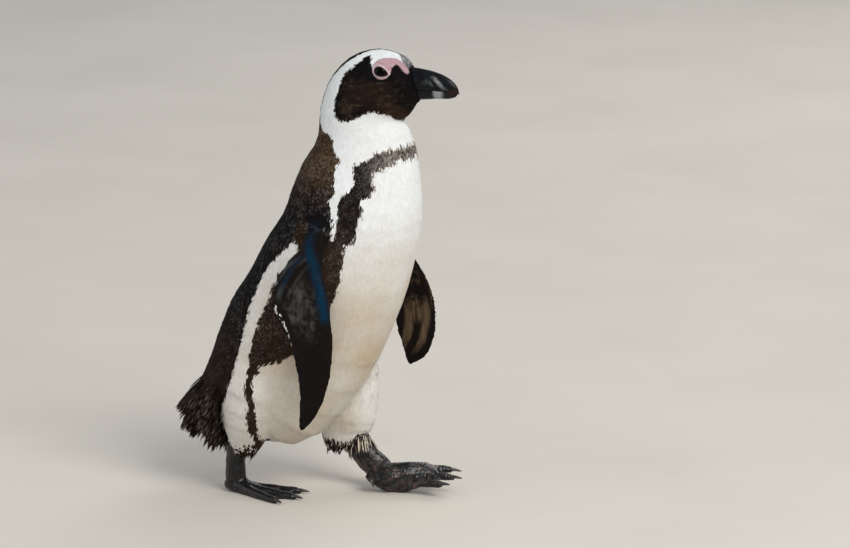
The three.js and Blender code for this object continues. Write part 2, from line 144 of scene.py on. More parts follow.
# The flippers, as in the frame: shoulder, tip, the way the leading edge faces and the bow; and rows
# of share of the length, sweep towards the leading edge and half chord.
FLIPPERS = {
    "right": ((30, -68, 330), (21, -105, 95), (1, 0, 0), (0, -3, 0)),
    "left": ((36, 66, 328), (62, 150, 120), (1, -0.1, 0), (14, 24, 0)),
}
FLIPPER_ARM = (
    (0, 0, 20), (0.035, -1, 18.5), (0.07, -2, 15.5), (0.13, -4.5, 12), (0.18, -8, 15),
    (0.243, -12.8, 23), (0.315, -13.6, 30), (0.387, -12.4, 34),
)
FLIPPER_HAND = {
    "right": (
        (0.44, -6.5, 31.5), (0.5, -0.5, 28), (0.57, 4.8, 26), (0.64, 8, 23.8), (0.745, 11, 19.5),
        (0.864, 9.8, 14), (0.945, 4.8, 8.4), (0.985, 1.5, 4), (1, 0, 1.4),
    ),
    "left": (
        (0.44, -8, 33), (0.5, -3, 31), (0.57, 1, 30), (0.64, 3, 29), (0.745, 4.8, 27.2),
        (0.8, 5.2, 25.6), (0.864, 5.8, 21.8), (0.92, 4.2, 16.6), (0.955, 2, 11.6),
        (0.985, 0.4, 5.8), (1, 0, 2),
    ),
}

# The coat: each piece's number on the skin, mm between roots, width as a share of length, lift and
# stray in degrees, and fray, the share by which lifts and lengths differ.
COATS = {
    "coat_head": (1, 0.9, 0.5, 6.0, 9.0, 0.25),
    "coat_neck": (2, 1.15, 0.4, 4.5, 7.0, 0.12),
    "coat_back": (3, 1.5, 0.36, 5.0, 9.0, 0.25),
    "coat_rump": (4, 1.6, 0.32, 5.0, 9.0, 0.3),
    "coat_breast": (5, 1.4, 0.34, 3.6, 7.0, 0.08),
    "coat_belly": (6, 1.5, 0.34, 3.6, 7.0, 0.08),
    "coat_flipper_right": (7, 1.0, 0.72, 4.0, 8.0, 0.2),
    "coat_flipper_left": (8, 1.0, 0.72, 4.0, 8.0, 0.2),
    "coat_thighs": (9, 1.45, 0.34, 4.0, 8.0, 0.1),
}
# The ragged ends: mm between roots, mean length in mm, width as a share of length, lift, stray
# and fray.
FRINGES = {
    "coat_tail_quills": (2.2, 16.0, 0.22, 3.0, 8.0, 0.4),
    "coat_skirt_tufts": (2.2, 11.0, 0.17, 8.0, 14.0, 0.5),
    "coat_ankle_streaks": (1.6, 13.0, 0.09, 6.0, 14.0, 0.55),
}
# The number on the skin that gives each fringe its roots.
FRINGE_COVER = {
    "coat_tail_quills": "cover", "coat_skirt_tufts": "skirt", "coat_ankle_streaks": "streaks",
}
VANE_LENGTH = {  # in mm
    "tail": 14.0, "trunk": 9.0, "neck": 6.0, "head": 3.3, "flipper": 2.6, "thigh": 8.0,
    "tarsus": 4.0, "foot": 4.0,
}
VANE_POINTS = 8  # of one feather's mesh
ROOTS_TRIED = 2.6  # in each square of the spacing; those too close to another are dropped
SHOULDER_END = 0.045  # share of the flipper that grows body feathers
BAKE_PATCH = 0.003  # a feather's length on the bake map

# What the skin carries for its material and its coat; a finished coat gets its own.
SKIN_LAYERS = (
    "coat", "cover", "lie", "out", "size", "dark", "brown", "warm", "tan", "blue", "grey", "bare",
    "leg", "dusky", "groove", "skirt", "streaks", "ring", "lid",
)

# ---------------------------------------------------------------- number tools


def shift_of_frame():
    """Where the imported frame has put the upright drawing's origin, worked out from the two eyes."""
    low_r, high_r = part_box("eye_right")
    low_l, high_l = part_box("eye_left")
    middle = (low_r + high_r + low_l + high_l) / 4 / MM
    return middle.x - EYE[0] - FORWARD_LEAN * EYE[2], middle.y + SIDE_LEAN * EYE[2]


SHIFT = shift_of_frame()


def lean(points):
    """Upright places in mm as places of the leaning bird in metres."""
    p = np.atleast_2d(np.asarray(points, float))
    x = p[:, 0] + FORWARD_LEAN * p[:, 2] + SHIFT[0]
    y = p[:, 1] - SIDE_LEAN * p[:, 2] + SHIFT[1]
    return np.column_stack([x, y, STRETCH * p[:, 2]]) * MM


def upright(points):
    """The reverse of lean."""
    p = np.atleast_2d(np.asarray(points, float)) / MM
    z = p[:, 2] / STRETCH
    x = p[:, 0] - SHIFT[0] - FORWARD_LEAN * z
    return np.column_stack([x, p[:, 1] - SHIFT[1] + SIDE_LEAN * z, z])


def unit(v):
    """Vectors at length one."""
    v = np.asarray(v, float)
    return v / np.maximum(np.linalg.norm(v, axis=-1, keepdims=True), 1e-9)


def ramp(x, low, high):
    """Smooth step from 0 at low to 1 at high."""
    t = np.clip((np.asarray(x, float) - low) / (high - low), 0, 1)
    return t * t * (3 - 2 * t)


def inside(points, outline):
    """Distance in mm from side-view points to an outline, positive inside it."""
    corners = np.asarray(outline, float)
    nearest = np.full(len(points), 1e9)
    crossings = np.zeros(len(points), int)
    for a, b in zip(corners, np.roll(corners, -1, axis=0)):
        along = b - a
        t = np.clip(((points - a) @ along) / (along @ along), 0, 1)
        nearest = np.minimum(nearest, np.linalg.norm(points - a - t[:, None] * along, axis=1))
        spans = (a[1] > points[:, 1]) != (b[1] > points[:, 1])
        rise = along[1] if along[1] else 1e-9
        crossings += spans & (points[:, 0] < a[0] + along[0] * (points[:, 1] - a[1]) / rise)
    return np.where(crossings % 2 == 1, nearest, -nearest)


def noise(points, size, seed):
    """Smooth random values from -1 to 1 that change over `size` mm."""
    q = points / size + seed * 17.13
    cell = np.floor(q).astype(np.int64)
    f = q - cell
    f = f * f * (3 - 2 * f)
    total = np.zeros(len(q))
    for corner in range(8):
        step = np.array([corner & 1, corner >> 1 & 1, corner >> 2 & 1])
        total += np.prod(np.where(step, f, 1 - f), axis=1) * scatter(cell + step)
    return total


def scatter(cell):
    """A fixed random value from -1 to 1 for each lattice cell."""
    h = (cell[:, 0] * 73856093) ^ (cell[:, 1] * 19349663) ^ (cell[:, 2] * 83492791)
    h = (h ^ (h >> 13)) * 1274126177 & 0x7FFFFFFF
    h = (h ^ (h >> 15)) * 668265263 & 0x7FFFFFFF
    return h / 0x3FFFFFFF - 1


def pebbles(points, size, seed):
    """How far each point is from the groove round its own scale, in scale widths."""
    q = points / size + seed * 3.7
    cell = np.floor(q).astype(np.int64)
    first = np.full(len(q), 9.0)
    second = np.full(len(q), 9.0)
    for n in range(27):
        near = cell + np.array([n % 3 - 1, n // 3 % 3 - 1, n // 9 - 1])
        jitter = np.column_stack([scatter(near + k * 101) for k in (1, 2, 3)]) * 0.38
        gap = np.linalg.norm(near + 0.5 + jitter - q, axis=1)
        second = np.minimum(second, np.maximum(first, gap))
        first = np.minimum(first, gap)
    return second - first


def smoothed(values, edges, rounds, step=0.5):
    """Values of the vertices after rounds of averaging with their neighbours. `rounds` is a number
    or one for each vertex."""
    values = np.asarray(values, float)
    flat = values.ndim == 1
    values = values[:, None].copy() if flat else values.copy()
    count = np.bincount(edges.ravel(), minlength=len(values)).astype(float)[:, None]
    rounds = np.broadcast_to(rounds, len(values))
    for done in range(int(np.max(rounds))):
        total = np.column_stack([
            np.bincount(edges[:, 0], k[edges[:, 1]], len(values))
            + np.bincount(edges[:, 1], k[edges[:, 0]], len(values)) for k in values.T
        ])
        pace = step(done) if callable(step) else step
        values += (total / np.maximum(count, 1) - values) * pace * (rounds > done)[:, None]
    return values[:, 0] if flat else values


def no_shrink(done):
    """Every second round of smoothing pushes back what the round before pulled in."""
    return 0.6 if done % 2 == 0 else -0.61


def near_line(points, line):
    """For side-view points and a line: share of the way along it, its direction and the offset
    to its left."""
    line = np.asarray(line, float)
    best = np.full(len(points), 1e9)
    share = np.zeros(len(points))
    way = np.zeros((len(points), 2))
    offset = np.zeros(len(points))
    for k, (a, b) in enumerate(zip(line[:-1], line[1:])):
        along = b - a
        t = np.clip(((points - a) @ along) / (along @ along), 0, 1)
        away = points - a - t[:, None] * along
        gap = np.linalg.norm(away, axis=1)
        closer = gap < best
        best = np.where(closer, gap, best)
        share = np.where(closer, (k + t) / (len(line) - 1), share)
        way = np.where(closer[:, None], unit(along), way)
        left = unit(along)[0] * away[:, 1] - unit(along)[1] * away[:, 0]
        offset = np.where(closer, left, offset)
    return share, way, offset


# ---------------------------------------------------------------- mesh tools


def mesh_object(name, mesh):
    """A new object of the scene that shows a mesh."""
    thing = bpy.data.objects.new(name, mesh)
    bpy.context.scene.collection.objects.link(thing)
    return thing


def new_mesh(name, points, faces):
    """A smooth-shaded mesh of points and faces."""
    mesh = bpy.data.meshes.new(name)
    mesh.from_pydata([tuple(p) for p in points], [], [tuple(f) for f in faces])
    mesh.polygons.foreach_set("use_smooth", [True] * len(mesh.polygons))
    mesh.update()
    return mesh


def plain_copy(thing):
    """The evaluated mesh of an object, with its modifiers made real."""
    bpy.context.view_layer.update()
    evaluated = thing.evaluated_get(bpy.context.evaluated_depsgraph_get())
    return bpy.data.meshes.new_from_object(evaluated)


def read(layer, key, kind, width=1):
    """One number, or a row of them, for each element of a mesh layer."""
    values = np.empty(len(layer) * width, kind)
    layer.foreach_get(key, values)
    return values.reshape(-1, width) if width > 1 else values


def places(mesh):
    """Where the vertices are."""
    return read(mesh.vertices, "co", float, 3)


def outward(mesh):
    """The vertices' normals."""
    return read(mesh.vertex_normals, "vector", float, 3)


def edge_ends(mesh):
    """The two vertices of each edge."""
    return read(mesh.edges, "vertices", np.int32, 2)


def put(mesh, co):
    """Moves the vertices."""
    mesh.vertices.foreach_set("co", np.ascontiguousarray(co).ravel())
    mesh.update()


def store(mesh, name, values, kind="FLOAT", domain="POINT"):
    """Writes values on the mesh under a name that materials and the coat's nodes read."""
    layer = mesh.attributes.new(name, kind, domain)
    key = "vector" if kind == "FLOAT_VECTOR" else "value"
    layer.data.foreach_set(key, np.ascontiguousarray(values).ravel())


def stand_in(name, piece, slot, *nodes):
    """Says what a finished piece rides on and which nodes it replaces, and names it. The slot is
    not used.
    """
    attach(piece, "root")
    if nodes:
        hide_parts(*nodes)
    piece.name = name
    return piece


# ---------------------------------------------------------------- markings


def flipper_places(p, side):
    """For points of a flipper: share of its length, mm towards the leading edge and mm outwards."""
    root, tip, ahead, bow = (np.array(v, float) for v in FLIPPERS[side])
    line = tip - root
    share = np.clip(((p - root) @ line) / (line @ line), -0.1, 1.05)
    ahead = unit(ahead - line * (ahead @ line) / (line @ line))
    away = p - root - share[:, None] * line - np.sin(np.pi * np.clip(share, 0, 1))[:, None] * bow
    out = unit(np.cross(line, ahead))
    out = out * np.sign(out[1]) * SIDES[side]
    return share, away @ ahead, away @ out


def body_marks(p):
    """Dark, brown and warm shares of the plumage at upright points of the body. Above 0 the mark is
    dark; it is a distance in mm from the nearest edge of a marking."""
    x, y, z = p.T
    rough = 1.7 * noise(p, 8, 1) + 1.0 * noise(p, 3.2, 2)
    chest = ramp(x, 66, 108) * ramp(z, 340, 380)
    back = inside(p[:, (0, 2)], MANTLE) + rough
    band = inside(p[:, (0, 2)], BAND) + 1.3 * rough + (0.6 + 4.5 * chest) * noise(p, 1.4, 8)
    face = inside(p[:, (0, 2)], MASK)
    mask = face + 0.45 * rough
    dorsal = (z > 430) & (z - 430 > 0.55 * (x - 20))
    half = CROWN_HALF + 9 * ramp(x, 72, 48) - 2 * ramp(abs(x - 88), 18, 8)
    half = half + 10 * ramp(x, 98, 110)
    crown = np.where(dorsal, half - abs(y), -20.0) + 0.4 * rough

    # Over the shoulder the white between mantle and band narrows to a thread.
    thread = x - 46.5 - 0.12 * (z - 308)
    notch = np.minimum.reduce([-1.5 - thread, x - 15, 321 - z, z - 290]) + rough
    mark = np.maximum.reduce([back, band, mask, crown, notch])
    white = np.minimum(mark, abs(thread) - 1.4 + 0.3 * rough)
    mark = np.where(abs(z - 317) < 12, white, mark)
    speck = noise(p, 3.4, 7) * (x > 20) * (z < 330) * (z > 90)
    mark = np.where(speck > 0.955, 1.0, mark)

    throat = ramp(x, 60, 108) * ramp(z, 480, 455) * (mask > -3)
    throat = throat * (1 - 0.9 * ramp(x + 0.9 * (z - 457), 100, 109))
    chest = chest * (band > -4)
    flank = 0.6 * (band > -3) * ramp(z, 370, 270)
    cheek = 0.45 * ramp(face, 3, 14) * ramp(z, 488, 478) * ramp(x, 104, 92)
    nape = 0.95 * (back > -2) * ramp(z, 330, 392) * (mask < 0)
    shoulder = np.hypot((x - 11) / 15, (z - 306) / 24)
    nape = np.maximum(nape, 0.9 * ramp(shoulder, 1.1, 0.6) * (abs(y) > 50))
    rump = 0.6 * (back > -2) * ramp(z, 250, 110)
    hem = 1.0 * (x < -30) * (x > -70) * (y < 0) * ramp(z, 74, 62)
    brown = np.maximum.reduce([0.9 * throat, cheek, chest, flank, nape, rump, hem])
    brown = np.clip(brown + 0.2 * noise(p, 14, 3) * (z < 440), 0, 1)

    # The white turns darker and warmer towards the bottom: partly stain, partly painted shade and the
    # warm bounce of the ground.
    low = ramp(z, 368, 160) * (0.65 + 0.35 * ramp(x, -70, -20))
    low = low * (1 - 0.5 * ramp(y, 10, 25) * ramp(z, 160, 120))
    low = low * (0.97 - 0.15 * ramp(z, 190, 130))
    warm = np.clip(low * (0.85 + 0.25 * noise(p, 30, 4)) + 0.08 * noise(p, 9, 5), 0, 1)
    return mark, brown, warm


def ring_of_dark(p):
    """Distance in mm below the line where the thighs' white ends in a ring of dark feathers."""
    right = 52 + 0.3 * np.maximum(p[:, 0] + 73, 0)
    left = 49 + 0.25 * np.maximum(21 - p[:, 0], 0) + 0.45 * np.maximum(p[:, 0] - 30, 0)
    return np.where(p[:, 1] < 0, right, left) - p[:, 2]


def flipper_edges(share, side):
    """How far the leading and the trailing edge lie from the flipper's straight line, in mm."""
    at, sweep, half = np.array(FLIPPER_ARM + FLIPPER_HAND[side], float).T
    return np.interp(share, at, sweep + half), np.interp(share, at, sweep - half)


def flipper_marks(p, side):
    """Mark, tan, warm, blue and grey shares on a flipper. Above 0 the mark is dark."""
    share, chord, out = flipper_places(p, side)
    front, rear = flipper_edges(share, side)
    lead, trail = front - chord, chord - rear
    outer = out > 0

    def grain(along, across, seed, layer):
        """Noise over the flipper's own length and width."""
        return noise(np.column_stack([along, across, np.full(len(p), float(layer))]), 1.0, seed)

    streak = grain(share * 20, chord / 2.0, 11, 3)
    patch = grain(share * 9, chord / 9, 12, 9)
    fine = grain(share * 12, chord / 1.3, 16, 4)
    mottle = noise(p, 5, 14) + 0.7 * noise(p, 2.2, 15)

    # Blue: a painted reflection of the sky, a ribbon behind the leading edge and fine strands that
    # branch towards the trailing one.
    middle = 8 + 11 * ramp(share, 0.24, 0.04)
    blue = ramp(abs(lead - middle + 1.5 * streak), 10.5, 1) ** 1.6 * ramp(share, 0.5, 0.45)
    blue = blue * (0.85 + 0.25 * fine + 0.2 * patch) * ramp(share, -0.02, 0.16)
    slant = trail + 40 * (share - 0.3)
    strand = ramp(grain(slant / 4.2, share * 6, 17, 5), 0.0, 0.45)
    paler = ramp(grain(slant / 3.4, share * 6, 18, 8), -0.2, 0.3)
    branch = ramp(share, 0.15, 0.22) * ramp(share, 0.42, 0.33) * ramp(trail, 30, 16)
    blue = np.maximum(blue, 0.65 * branch * strand) * outer

    # Grey: a clouded field at the middle of the outer face, and in the branch paler strands of the
    # painted sky reflection.
    grey = ramp(0.6 * patch + 0.4 * mottle + 0.3 * streak, -0.4, 1.0)
    grey = grey * ramp(share, 0.6, 0.48) * ramp(share, 0.26, 0.36)
    grey = grey * ramp(trail, 6, 14) * ramp(lead, 10, 20)
    grey = np.maximum(grey, branch * paler) * outer

    # Tan: streaks on the inner face's outer half, painted glints, and a painted highlight along its
    # rim where the light catches it.
    streaks = ramp(abs(lead - 11 + 2.5 * patch), 6.5, 2.5)
    streaks = np.maximum(streaks, ramp(abs(lead - 33 + 3 * patch), 7, 3))
    streaks = np.maximum(streaks, ramp(lead, 4, 9) * ramp(lead, 40, 34) * ramp(share, 0.8, 0.74))
    tan = streaks * (0.68 + 0.5 * fine) * ramp(share + 0.04 * mottle + 0.02 * patch, 0.62, 0.71)
    tan = tan * ramp(share, 0.97, 0.86)
    glint = 0.35 * ramp(mottle + fine, 0.1, 0.9) * ramp(share, 0.4, 0.44) * ramp(lead, 5, 12)
    tan = np.maximum(tan, glint * ramp(share, 0.6, 0.52))
    rim = ramp(share, 0.46, 0.52) * ramp(share, 0.72, 0.66) * ramp(abs(lead - 2.2), 1.6, 0.5)
    tan = np.maximum(tan, rim) * ~outer

    # White: a broken line along the middle of the trailing edge.
    edge = (trail < 0.4 + 0.5 * streak) & (share > 0.36) & (share < 0.68)
    mark = np.where(edge & (noise(p, 3.0, 13) > -0.2), -4.0, 4.0)
    tan, blue, grey = (np.clip(values, 0, 1) for values in (tan, blue, grey))
    return mark, tan, np.where(outer, 0.1, 0.9), blue, grey


# ---------------------------------------------------------------- materials


def linear(code):
    """An sRGB hex colour as linear red, green, blue and alpha."""
    parts = [int(code[k:k + 2], 16) / 255 for k in (0, 2, 4)]
    return [c / 12.92 if c <= 0.04045 else ((c + 0.055) / 1.055) ** 2.4 for c in parts] + [1.0]


def add(tree, kind, settings=None, inputs=None):
    """Adds one node. Settings are its own properties; inputs are values or links by socket."""
    made = tree.nodes.new(kind)
    for key, value in (settings or {}).items():
        setattr(made, key, value)
    for key, value in (inputs or {}).items():
        if isinstance(value, bpy.types.NodeSocket):
            tree.links.new(value, made.inputs[key])
        else:
            made.inputs[key].default_value = value
    return made


def blank_material(name, **shader):
    """A material with its Principled shader set, and that shader."""
    material = bpy.data.materials.new(name)
    material.use_nodes = True
    tree = material.node_tree
    tree.nodes.clear()
    surface = add(tree, "ShaderNodeBsdfPrincipled")
    add(tree, "ShaderNodeOutputMaterial", None, {"Surface": surface.outputs[0]})
    for key, value in shader.items():
        surface.inputs[key.replace("_", " ")].default_value = value
    return material, tree, surface


def layered(tree, colour, *layers):
    """Lays colours over one another. Each layer is its share, which may be the name of a number
    stored on the mesh, and its colour."""
    for share, over in layers:
        if isinstance(share, str):
            share = add(tree, "ShaderNodeAttribute", {"attribute_name": share}).outputs["Fac"]
        mix = add(tree, "ShaderNodeMix", {"data_type": "RGBA"}, {0: share, 6: colour, 7: over})
        colour = mix.outputs[2]
    return colour


def spread(tree, size, low, high, out_low=0.0, out_high=1.0, detail=3.0, stretch=(1, 1, 1)):
    """Noise over object space with features of `size` mm, between two values."""
    place = add(tree, "ShaderNodeTexCoord").outputs["Object"]
    scaled = add(tree, "ShaderNodeMapping", None, {"Vector": place, "Scale": stretch})
    made = add(tree, "ShaderNodeTexNoise", None, {
        "Vector": scaled.outputs[0], "Scale": 1 / (size * MM), "Detail": detail})
    return add(tree, "ShaderNodeMapRange", None, {
        0: made.outputs[0], 1: low, 2: high, 3: out_low, 4: out_high}).outputs[0]


def plumage_colour(tree, settings):
    """White and dark feather colours from the numbers stored on the mesh."""
    white = layered(
        # warm lays the stained belly colour over the white, which also paints shade and ground
        # bounce.
        tree, settings.white_plumage, ("warm", settings.soiled_and_shaded_plumage),
        (spread(tree, 6.0, 0.4, 0.8, 0.0, 0.12), linear("B9AE9C")))
    dark = layered(
        tree, settings.dark_plumage, ("brown", settings.brown_plumage),
        (spread(tree, 4.0, 0.45, 0.8, 0.0, 0.15), linear("2C2725")), ("grey", linear("504F4A")),
        # blue paints the sky's reflection on the flippers and over the right shoulder.
        ("blue", settings.flipper_sky_sheen), ("tan", linear("6E5A46")))
    return layered(tree, white, ("dark", dark))


def vary_vanes(tree, colour, low, high):
    """The same colour, darker or lighter by each vane's own chance value."""
    chance = add(tree, "ShaderNodeAttribute", {"attribute_name": "chance"}).outputs["Fac"]
    value = add(tree, "ShaderNodeMapRange", None, {0: chance, 3: low, 4: high}).outputs[0]
    tint = add(tree, "ShaderNodeHueSaturation", None, {"Value": value, "Color": colour})
    return tint.outputs[0]


def feather_material(settings):
    """Feather vanes of keratin: dull, with a soft sheen where they lie across the light. Their
    chance value sets each vane a little apart from its neighbours, and many dark ones end in a
    paler tip."""
    material, tree, surface = blank_material(
        "plumage_keratin_vanes", Roughness=0.7, Specular_IOR_Level=0.04)
    along = add(tree, "ShaderNodeAttribute", {"attribute_name": "along"}).outputs["Fac"]
    fleck = add(tree, "ShaderNodeAttribute", {"attribute_name": "fleck"}).outputs["Fac"]
    tip = add(tree, "ShaderNodeMapRange", None, {0: along, 1: 0.6, 2: 1.0, 3: 0.0, 4: 0.7})
    tip = add(tree, "ShaderNodeMath", {"operation": "MULTIPLY"}, {0: tip.outputs[0], 1: fleck})
    paler = layered(tree, linear("646972"), ("warm", linear("A08D79")))
    colour = layered(tree, plumage_colour(tree, settings), (tip.outputs[0], paler))
    colour = vary_vanes(tree, colour, 0.93, 1.05)
    tree.links.new(colour, surface.inputs["Base Color"])
    return material


def flipper_material(settings):
    """Scale-like flipper feathers, wet and close: smoother than the body's, with a painted
    steel-blue reflection of the sky along the leading edge."""
    material, tree, surface = blank_material(
        "flipper_wet_scale_feathers", Roughness=0.45, Specular_IOR_Level=0.07)
    colour = vary_vanes(tree, plumage_colour(tree, settings), 0.8, 1.15)
    tree.links.new(colour, surface.inputs["Base Color"])
    return material


def skin_material(settings):
    """Bird skin: wet, mottled black and dusty pink on the legs with a painted bluish wet sheen and
    painted shade in the grooves of the scales, bare and pink round the eye with a painted shadow
    at the edge of the lids, and under the feathers dull, with the same markings as theirs."""
    material, tree, surface = blank_material("bare_and_feathered_skin")
    leg = layered(
        tree, settings.leg_black,
        (spread(tree, 9.0, 0.46, 0.68, detail=5.0), settings.leg_pink),
        # Painted bluish wet sheen in random patches; dusky darkens the right leg.
        (spread(tree, 6.0, 0.52, 0.7), linear("343D3F")), ("dusky", linear("0B0E11")),
        # Painted shade in the grooves between the scales.
        ("groove", linear("070607")))
    pink = layered(
        tree, settings.bare_pink, (spread(tree, 3.5, 0.35, 0.7), linear("A58088")),
        # The dark at the lids' edge is a painted shadow of the lids.
        ("ring", linear("C0AAAE")), ("lid", linear("120D0D")))
    colour = layered(tree, plumage_colour(tree, settings), ("leg", leg), ("bare", pink))
    tree.links.new(colour, surface.inputs["Base Color"])
    wet = add(tree, "ShaderNodeAttribute", {"attribute_name": "leg"}).outputs["Fac"]
    bare = add(tree, "ShaderNodeAttribute", {"attribute_name": "bare"}).outputs["Fac"]
    rough = add(tree, "ShaderNodeMapRange", None, {0: wet, 3: 0.7, 4: 0.25})
    tree.links.new(rough.outputs[0], surface.inputs["Roughness"])
    naked = add(tree, "ShaderNodeMath", {"operation": "MAXIMUM"}, {0: wet, 1: bare})
    shine = add(tree, "ShaderNodeMapRange", None, {0: naked.outputs[0], 3: 0.03, 4: 0.36})
    tree.links.new(shine.outputs[0], surface.inputs["Specular IOR Level"])
    bump = add(tree, "ShaderNodeBump", None, {
        "Height": spread(tree, 0.7, 0.2, 0.8), "Strength": 0.25, "Distance": 0.2 * MM})
    tree.links.new(bump.outputs[0], surface.inputs["Normal"])
    return material


def horn_material(settings):
    """Bill horn: near black, polished by use, with a pale cross band that is partly a painted soft
    highlight, a brown cutting edge, painted bluish sheen and painted reflections on the ridges.
    """
    material, tree, surface = blank_material(
        "bill_horn_polished", Roughness=0.25, IOR=1.55, Specular_IOR_Level=0.16)
    colour = layered(
        tree, settings.horn_black,
        (spread(tree, 2.2, 0.45, 0.8, stretch=(0.3, 1, 1)), linear("15191D")),
        # Painted bluish sheen in large patches, then painted reflections on the ridges near the base.
        (spread(tree, 9.0, 0.45, 0.7), linear("0C1422")), ("worn", linear("595C5C")),
        ("edge", linear("2A1711")), ("pale", settings.horn_pale))
    tree.links.new(colour, surface.inputs["Base Color"])
    tree.links.new(spread(tree, 1.2, 0.3, 0.7, 0.2, 0.36), surface.inputs["Roughness"])
    scratches = spread(tree, 0.8, 0.3, 0.7, stretch=(0.25, 1, 1))
    bump = add(tree, "ShaderNodeBump", None, {
        "Height": scratches, "Strength": 0.3, "Distance": 0.15 * MM})
    tree.links.new(bump.outputs[0], surface.inputs["Normal"])
    return material


def eye_material(settings):
    """A wet eyeball: very dark brown iris round a black pupil, under a clear shine."""
    material, tree, surface = blank_material(
        "eye_wet_cornea", Roughness=0.05, IOR=1.38, Specular_IOR_Level=0.12)
    colour = layered(
        tree, linear("090504"), (spread(tree, 1.0, 0.3, 0.7), settings.eye_brown),
        ("pupil", linear("020202")))
    tree.links.new(colour, surface.inputs["Base Color"])
    return material


def claw_material(settings):
    """Claw horn: black, rubbed a little grey and smooth."""
    material, tree, surface = blank_material("claw_horn_worn", Roughness=0.35, IOR=1.55)
    colour = layered(tree, settings.claw_black, (spread(tree, 1.5, 0.4, 0.75), linear("4B4643")))
    tree.links.new(colour, surface.inputs["Base Color"])
    return material


def floor_material(settings):
    """Matt painted studio floor, pale and warm, with the faintest unevenness."""
    material, tree, surface = blank_material("studio_floor_matt_paint", Roughness=0.85)
    colour = layered(
        tree, settings.floor_paint, (spread(tree, 300.0, 0.3, 0.7), linear("CFC9BF")))
    tree.links.new(colour, surface.inputs["Base Color"])
    return material


# ---------------------------------------------------------------- skin


def frame_surface():
    """A search tree over the flesh nodes, and each of its faces' number in FLESH."""
    points, faces, owner = [], [], []
    for number, name in enumerate(FLESH):
        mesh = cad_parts[name].data
        mesh.calc_loop_triangles()
        start = len(points)
        points.extend(v.co.copy() for v in mesh.vertices)
        faces.extend([i + start for i in t.vertices] for t in mesh.loop_triangles)
        owner.extend([number] * len(mesh.loop_triangles))
    return BVHTree.FromPolygons(points, faces), np.array(owner)


def nearest_parts(surface, co):
    """The number in FLESH of the node that each point lies nearest to."""
    search, owner = surface
    return owner[[search.find_nearest(Vector(v))[2] for v in co]]


def by_part(table, part):
    """A table's value for the kind of part that each point lies on."""
    return np.array([table[kind] for kind in KINDS], float)[part]


def flesh_union():
    """One closed mesh round all the flesh, without the gaps, the sockets or the hollow where the
    bill is set in. The tail's core stops short of its quills."""
    whole = bmesh.new()
    for name in FLESH + ("eye_right", "eye_left", "bill_upper", "bill_lower"):
        piece = bmesh.new()
        piece.from_mesh(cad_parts[name].data)
        bmesh.ops.remove_doubles(piece, verts=piece.verts, dist=1e-6)
        piece.normal_update()
        shape = bpy.data.meshes.new("flesh")
        piece.to_mesh(shape)
        p = upright(places(shape) + outward(shape) * GAP_FILL * MM)
        if name in SKIN_ENDS:
            p[:, 0] = np.minimum(p[:, 0], SKIN_ENDS[name])
        if name == "tail":
            fan = tail_fan(p)
            p -= fan * QUILL_ROOM * ramp((outward(shape) * fan).sum(1), 0.1, 0.7)[:, None]
        put(shape, lean(p))
        whole.from_mesh(shape)
        bpy.data.meshes.remove(shape)
        piece.free()
    mesh = bpy.data.meshes.new("flesh")
    whole.to_mesh(mesh)
    whole.free()
    return mesh


def voxel_skin(mesh):
    """The union as one skin of even squares."""
    thing = mesh_object("flesh", mesh)
    cut = thing.modifiers.new("even", "REMESH")
    cut.mode = "VOXEL"
    cut.voxel_size = VOXEL * MM
    whole = plain_copy(thing)
    bpy.data.objects.remove(thing)
    return whole


def refine(mesh, chosen):
    """Splits each triangle of the chosen vertices in four."""
    bm = bmesh.new()
    bm.from_mesh(mesh)
    bmesh.ops.triangulate(bm, faces=bm.faces)
    bm.verts.ensure_lookup_table()
    edges = [e for e in bm.edges if chosen[e.verts[0].index] and chosen[e.verts[1].index]]
    bmesh.ops.subdivide_edges(bm, edges=edges, cuts=1, use_grid_fill=True)
    bmesh.ops.triangulate(bm, faces=[f for f in bm.faces if len(f.verts) > 3])
    bm.to_mesh(mesh)
    bm.free()
    mesh.update()


def eye_frame(side):
    """An eye's centre in mm in the frame, the way it looks, its forward and its upward way."""
    sign = SIDES[side]
    look = unit(np.array([EYE_AXIS[0], sign * EYE_AXIS[1], EYE_AXIS[2]]))
    ahead = unit(np.array([1.0, 0, 0]) - look * look[0])
    up = np.cross(look, ahead) * -sign
    up = up * np.sign(up[2])
    centre = lean([EYE[0], sign * EYE[1], EYE[2]])[0] / MM - look * EYE_SUNK
    tilt = math.radians(EYE_TILT)
    long_way = ahead * math.cos(tilt) + up * math.sin(tilt)
    high_way = up * math.cos(tilt) - ahead * math.sin(tilt)
    return centre, look, long_way, high_way


def eye_places(co, side):
    """For points in mm in the frame: height over the eye's centre, distance from its axis and
    distance outside the opening."""
    centre, look, long_way, high_way = eye_frame(side)
    away = co - centre
    a, b = away @ long_way, away @ high_way
    half_long, half_high = EYE_OPENING
    narrow = half_high * (1 - 0.22 * np.clip(a / half_long, -1, 1))
    reach = np.sqrt((a / half_long) ** 2 + (b / narrow) ** 2)
    return away @ look, np.hypot(a, b), (reach - 1) * half_high


def from_openings(co):
    """Distance in mm outside the nearer eye's opening, and 50 away from the eyes."""
    gaps = []
    for side in SIDES:
        height, ring, gap = eye_places(co, side)
        gaps.append(np.where((height > 0) & (ring < 16), gap, 50.0))
    return np.minimum(*gaps)


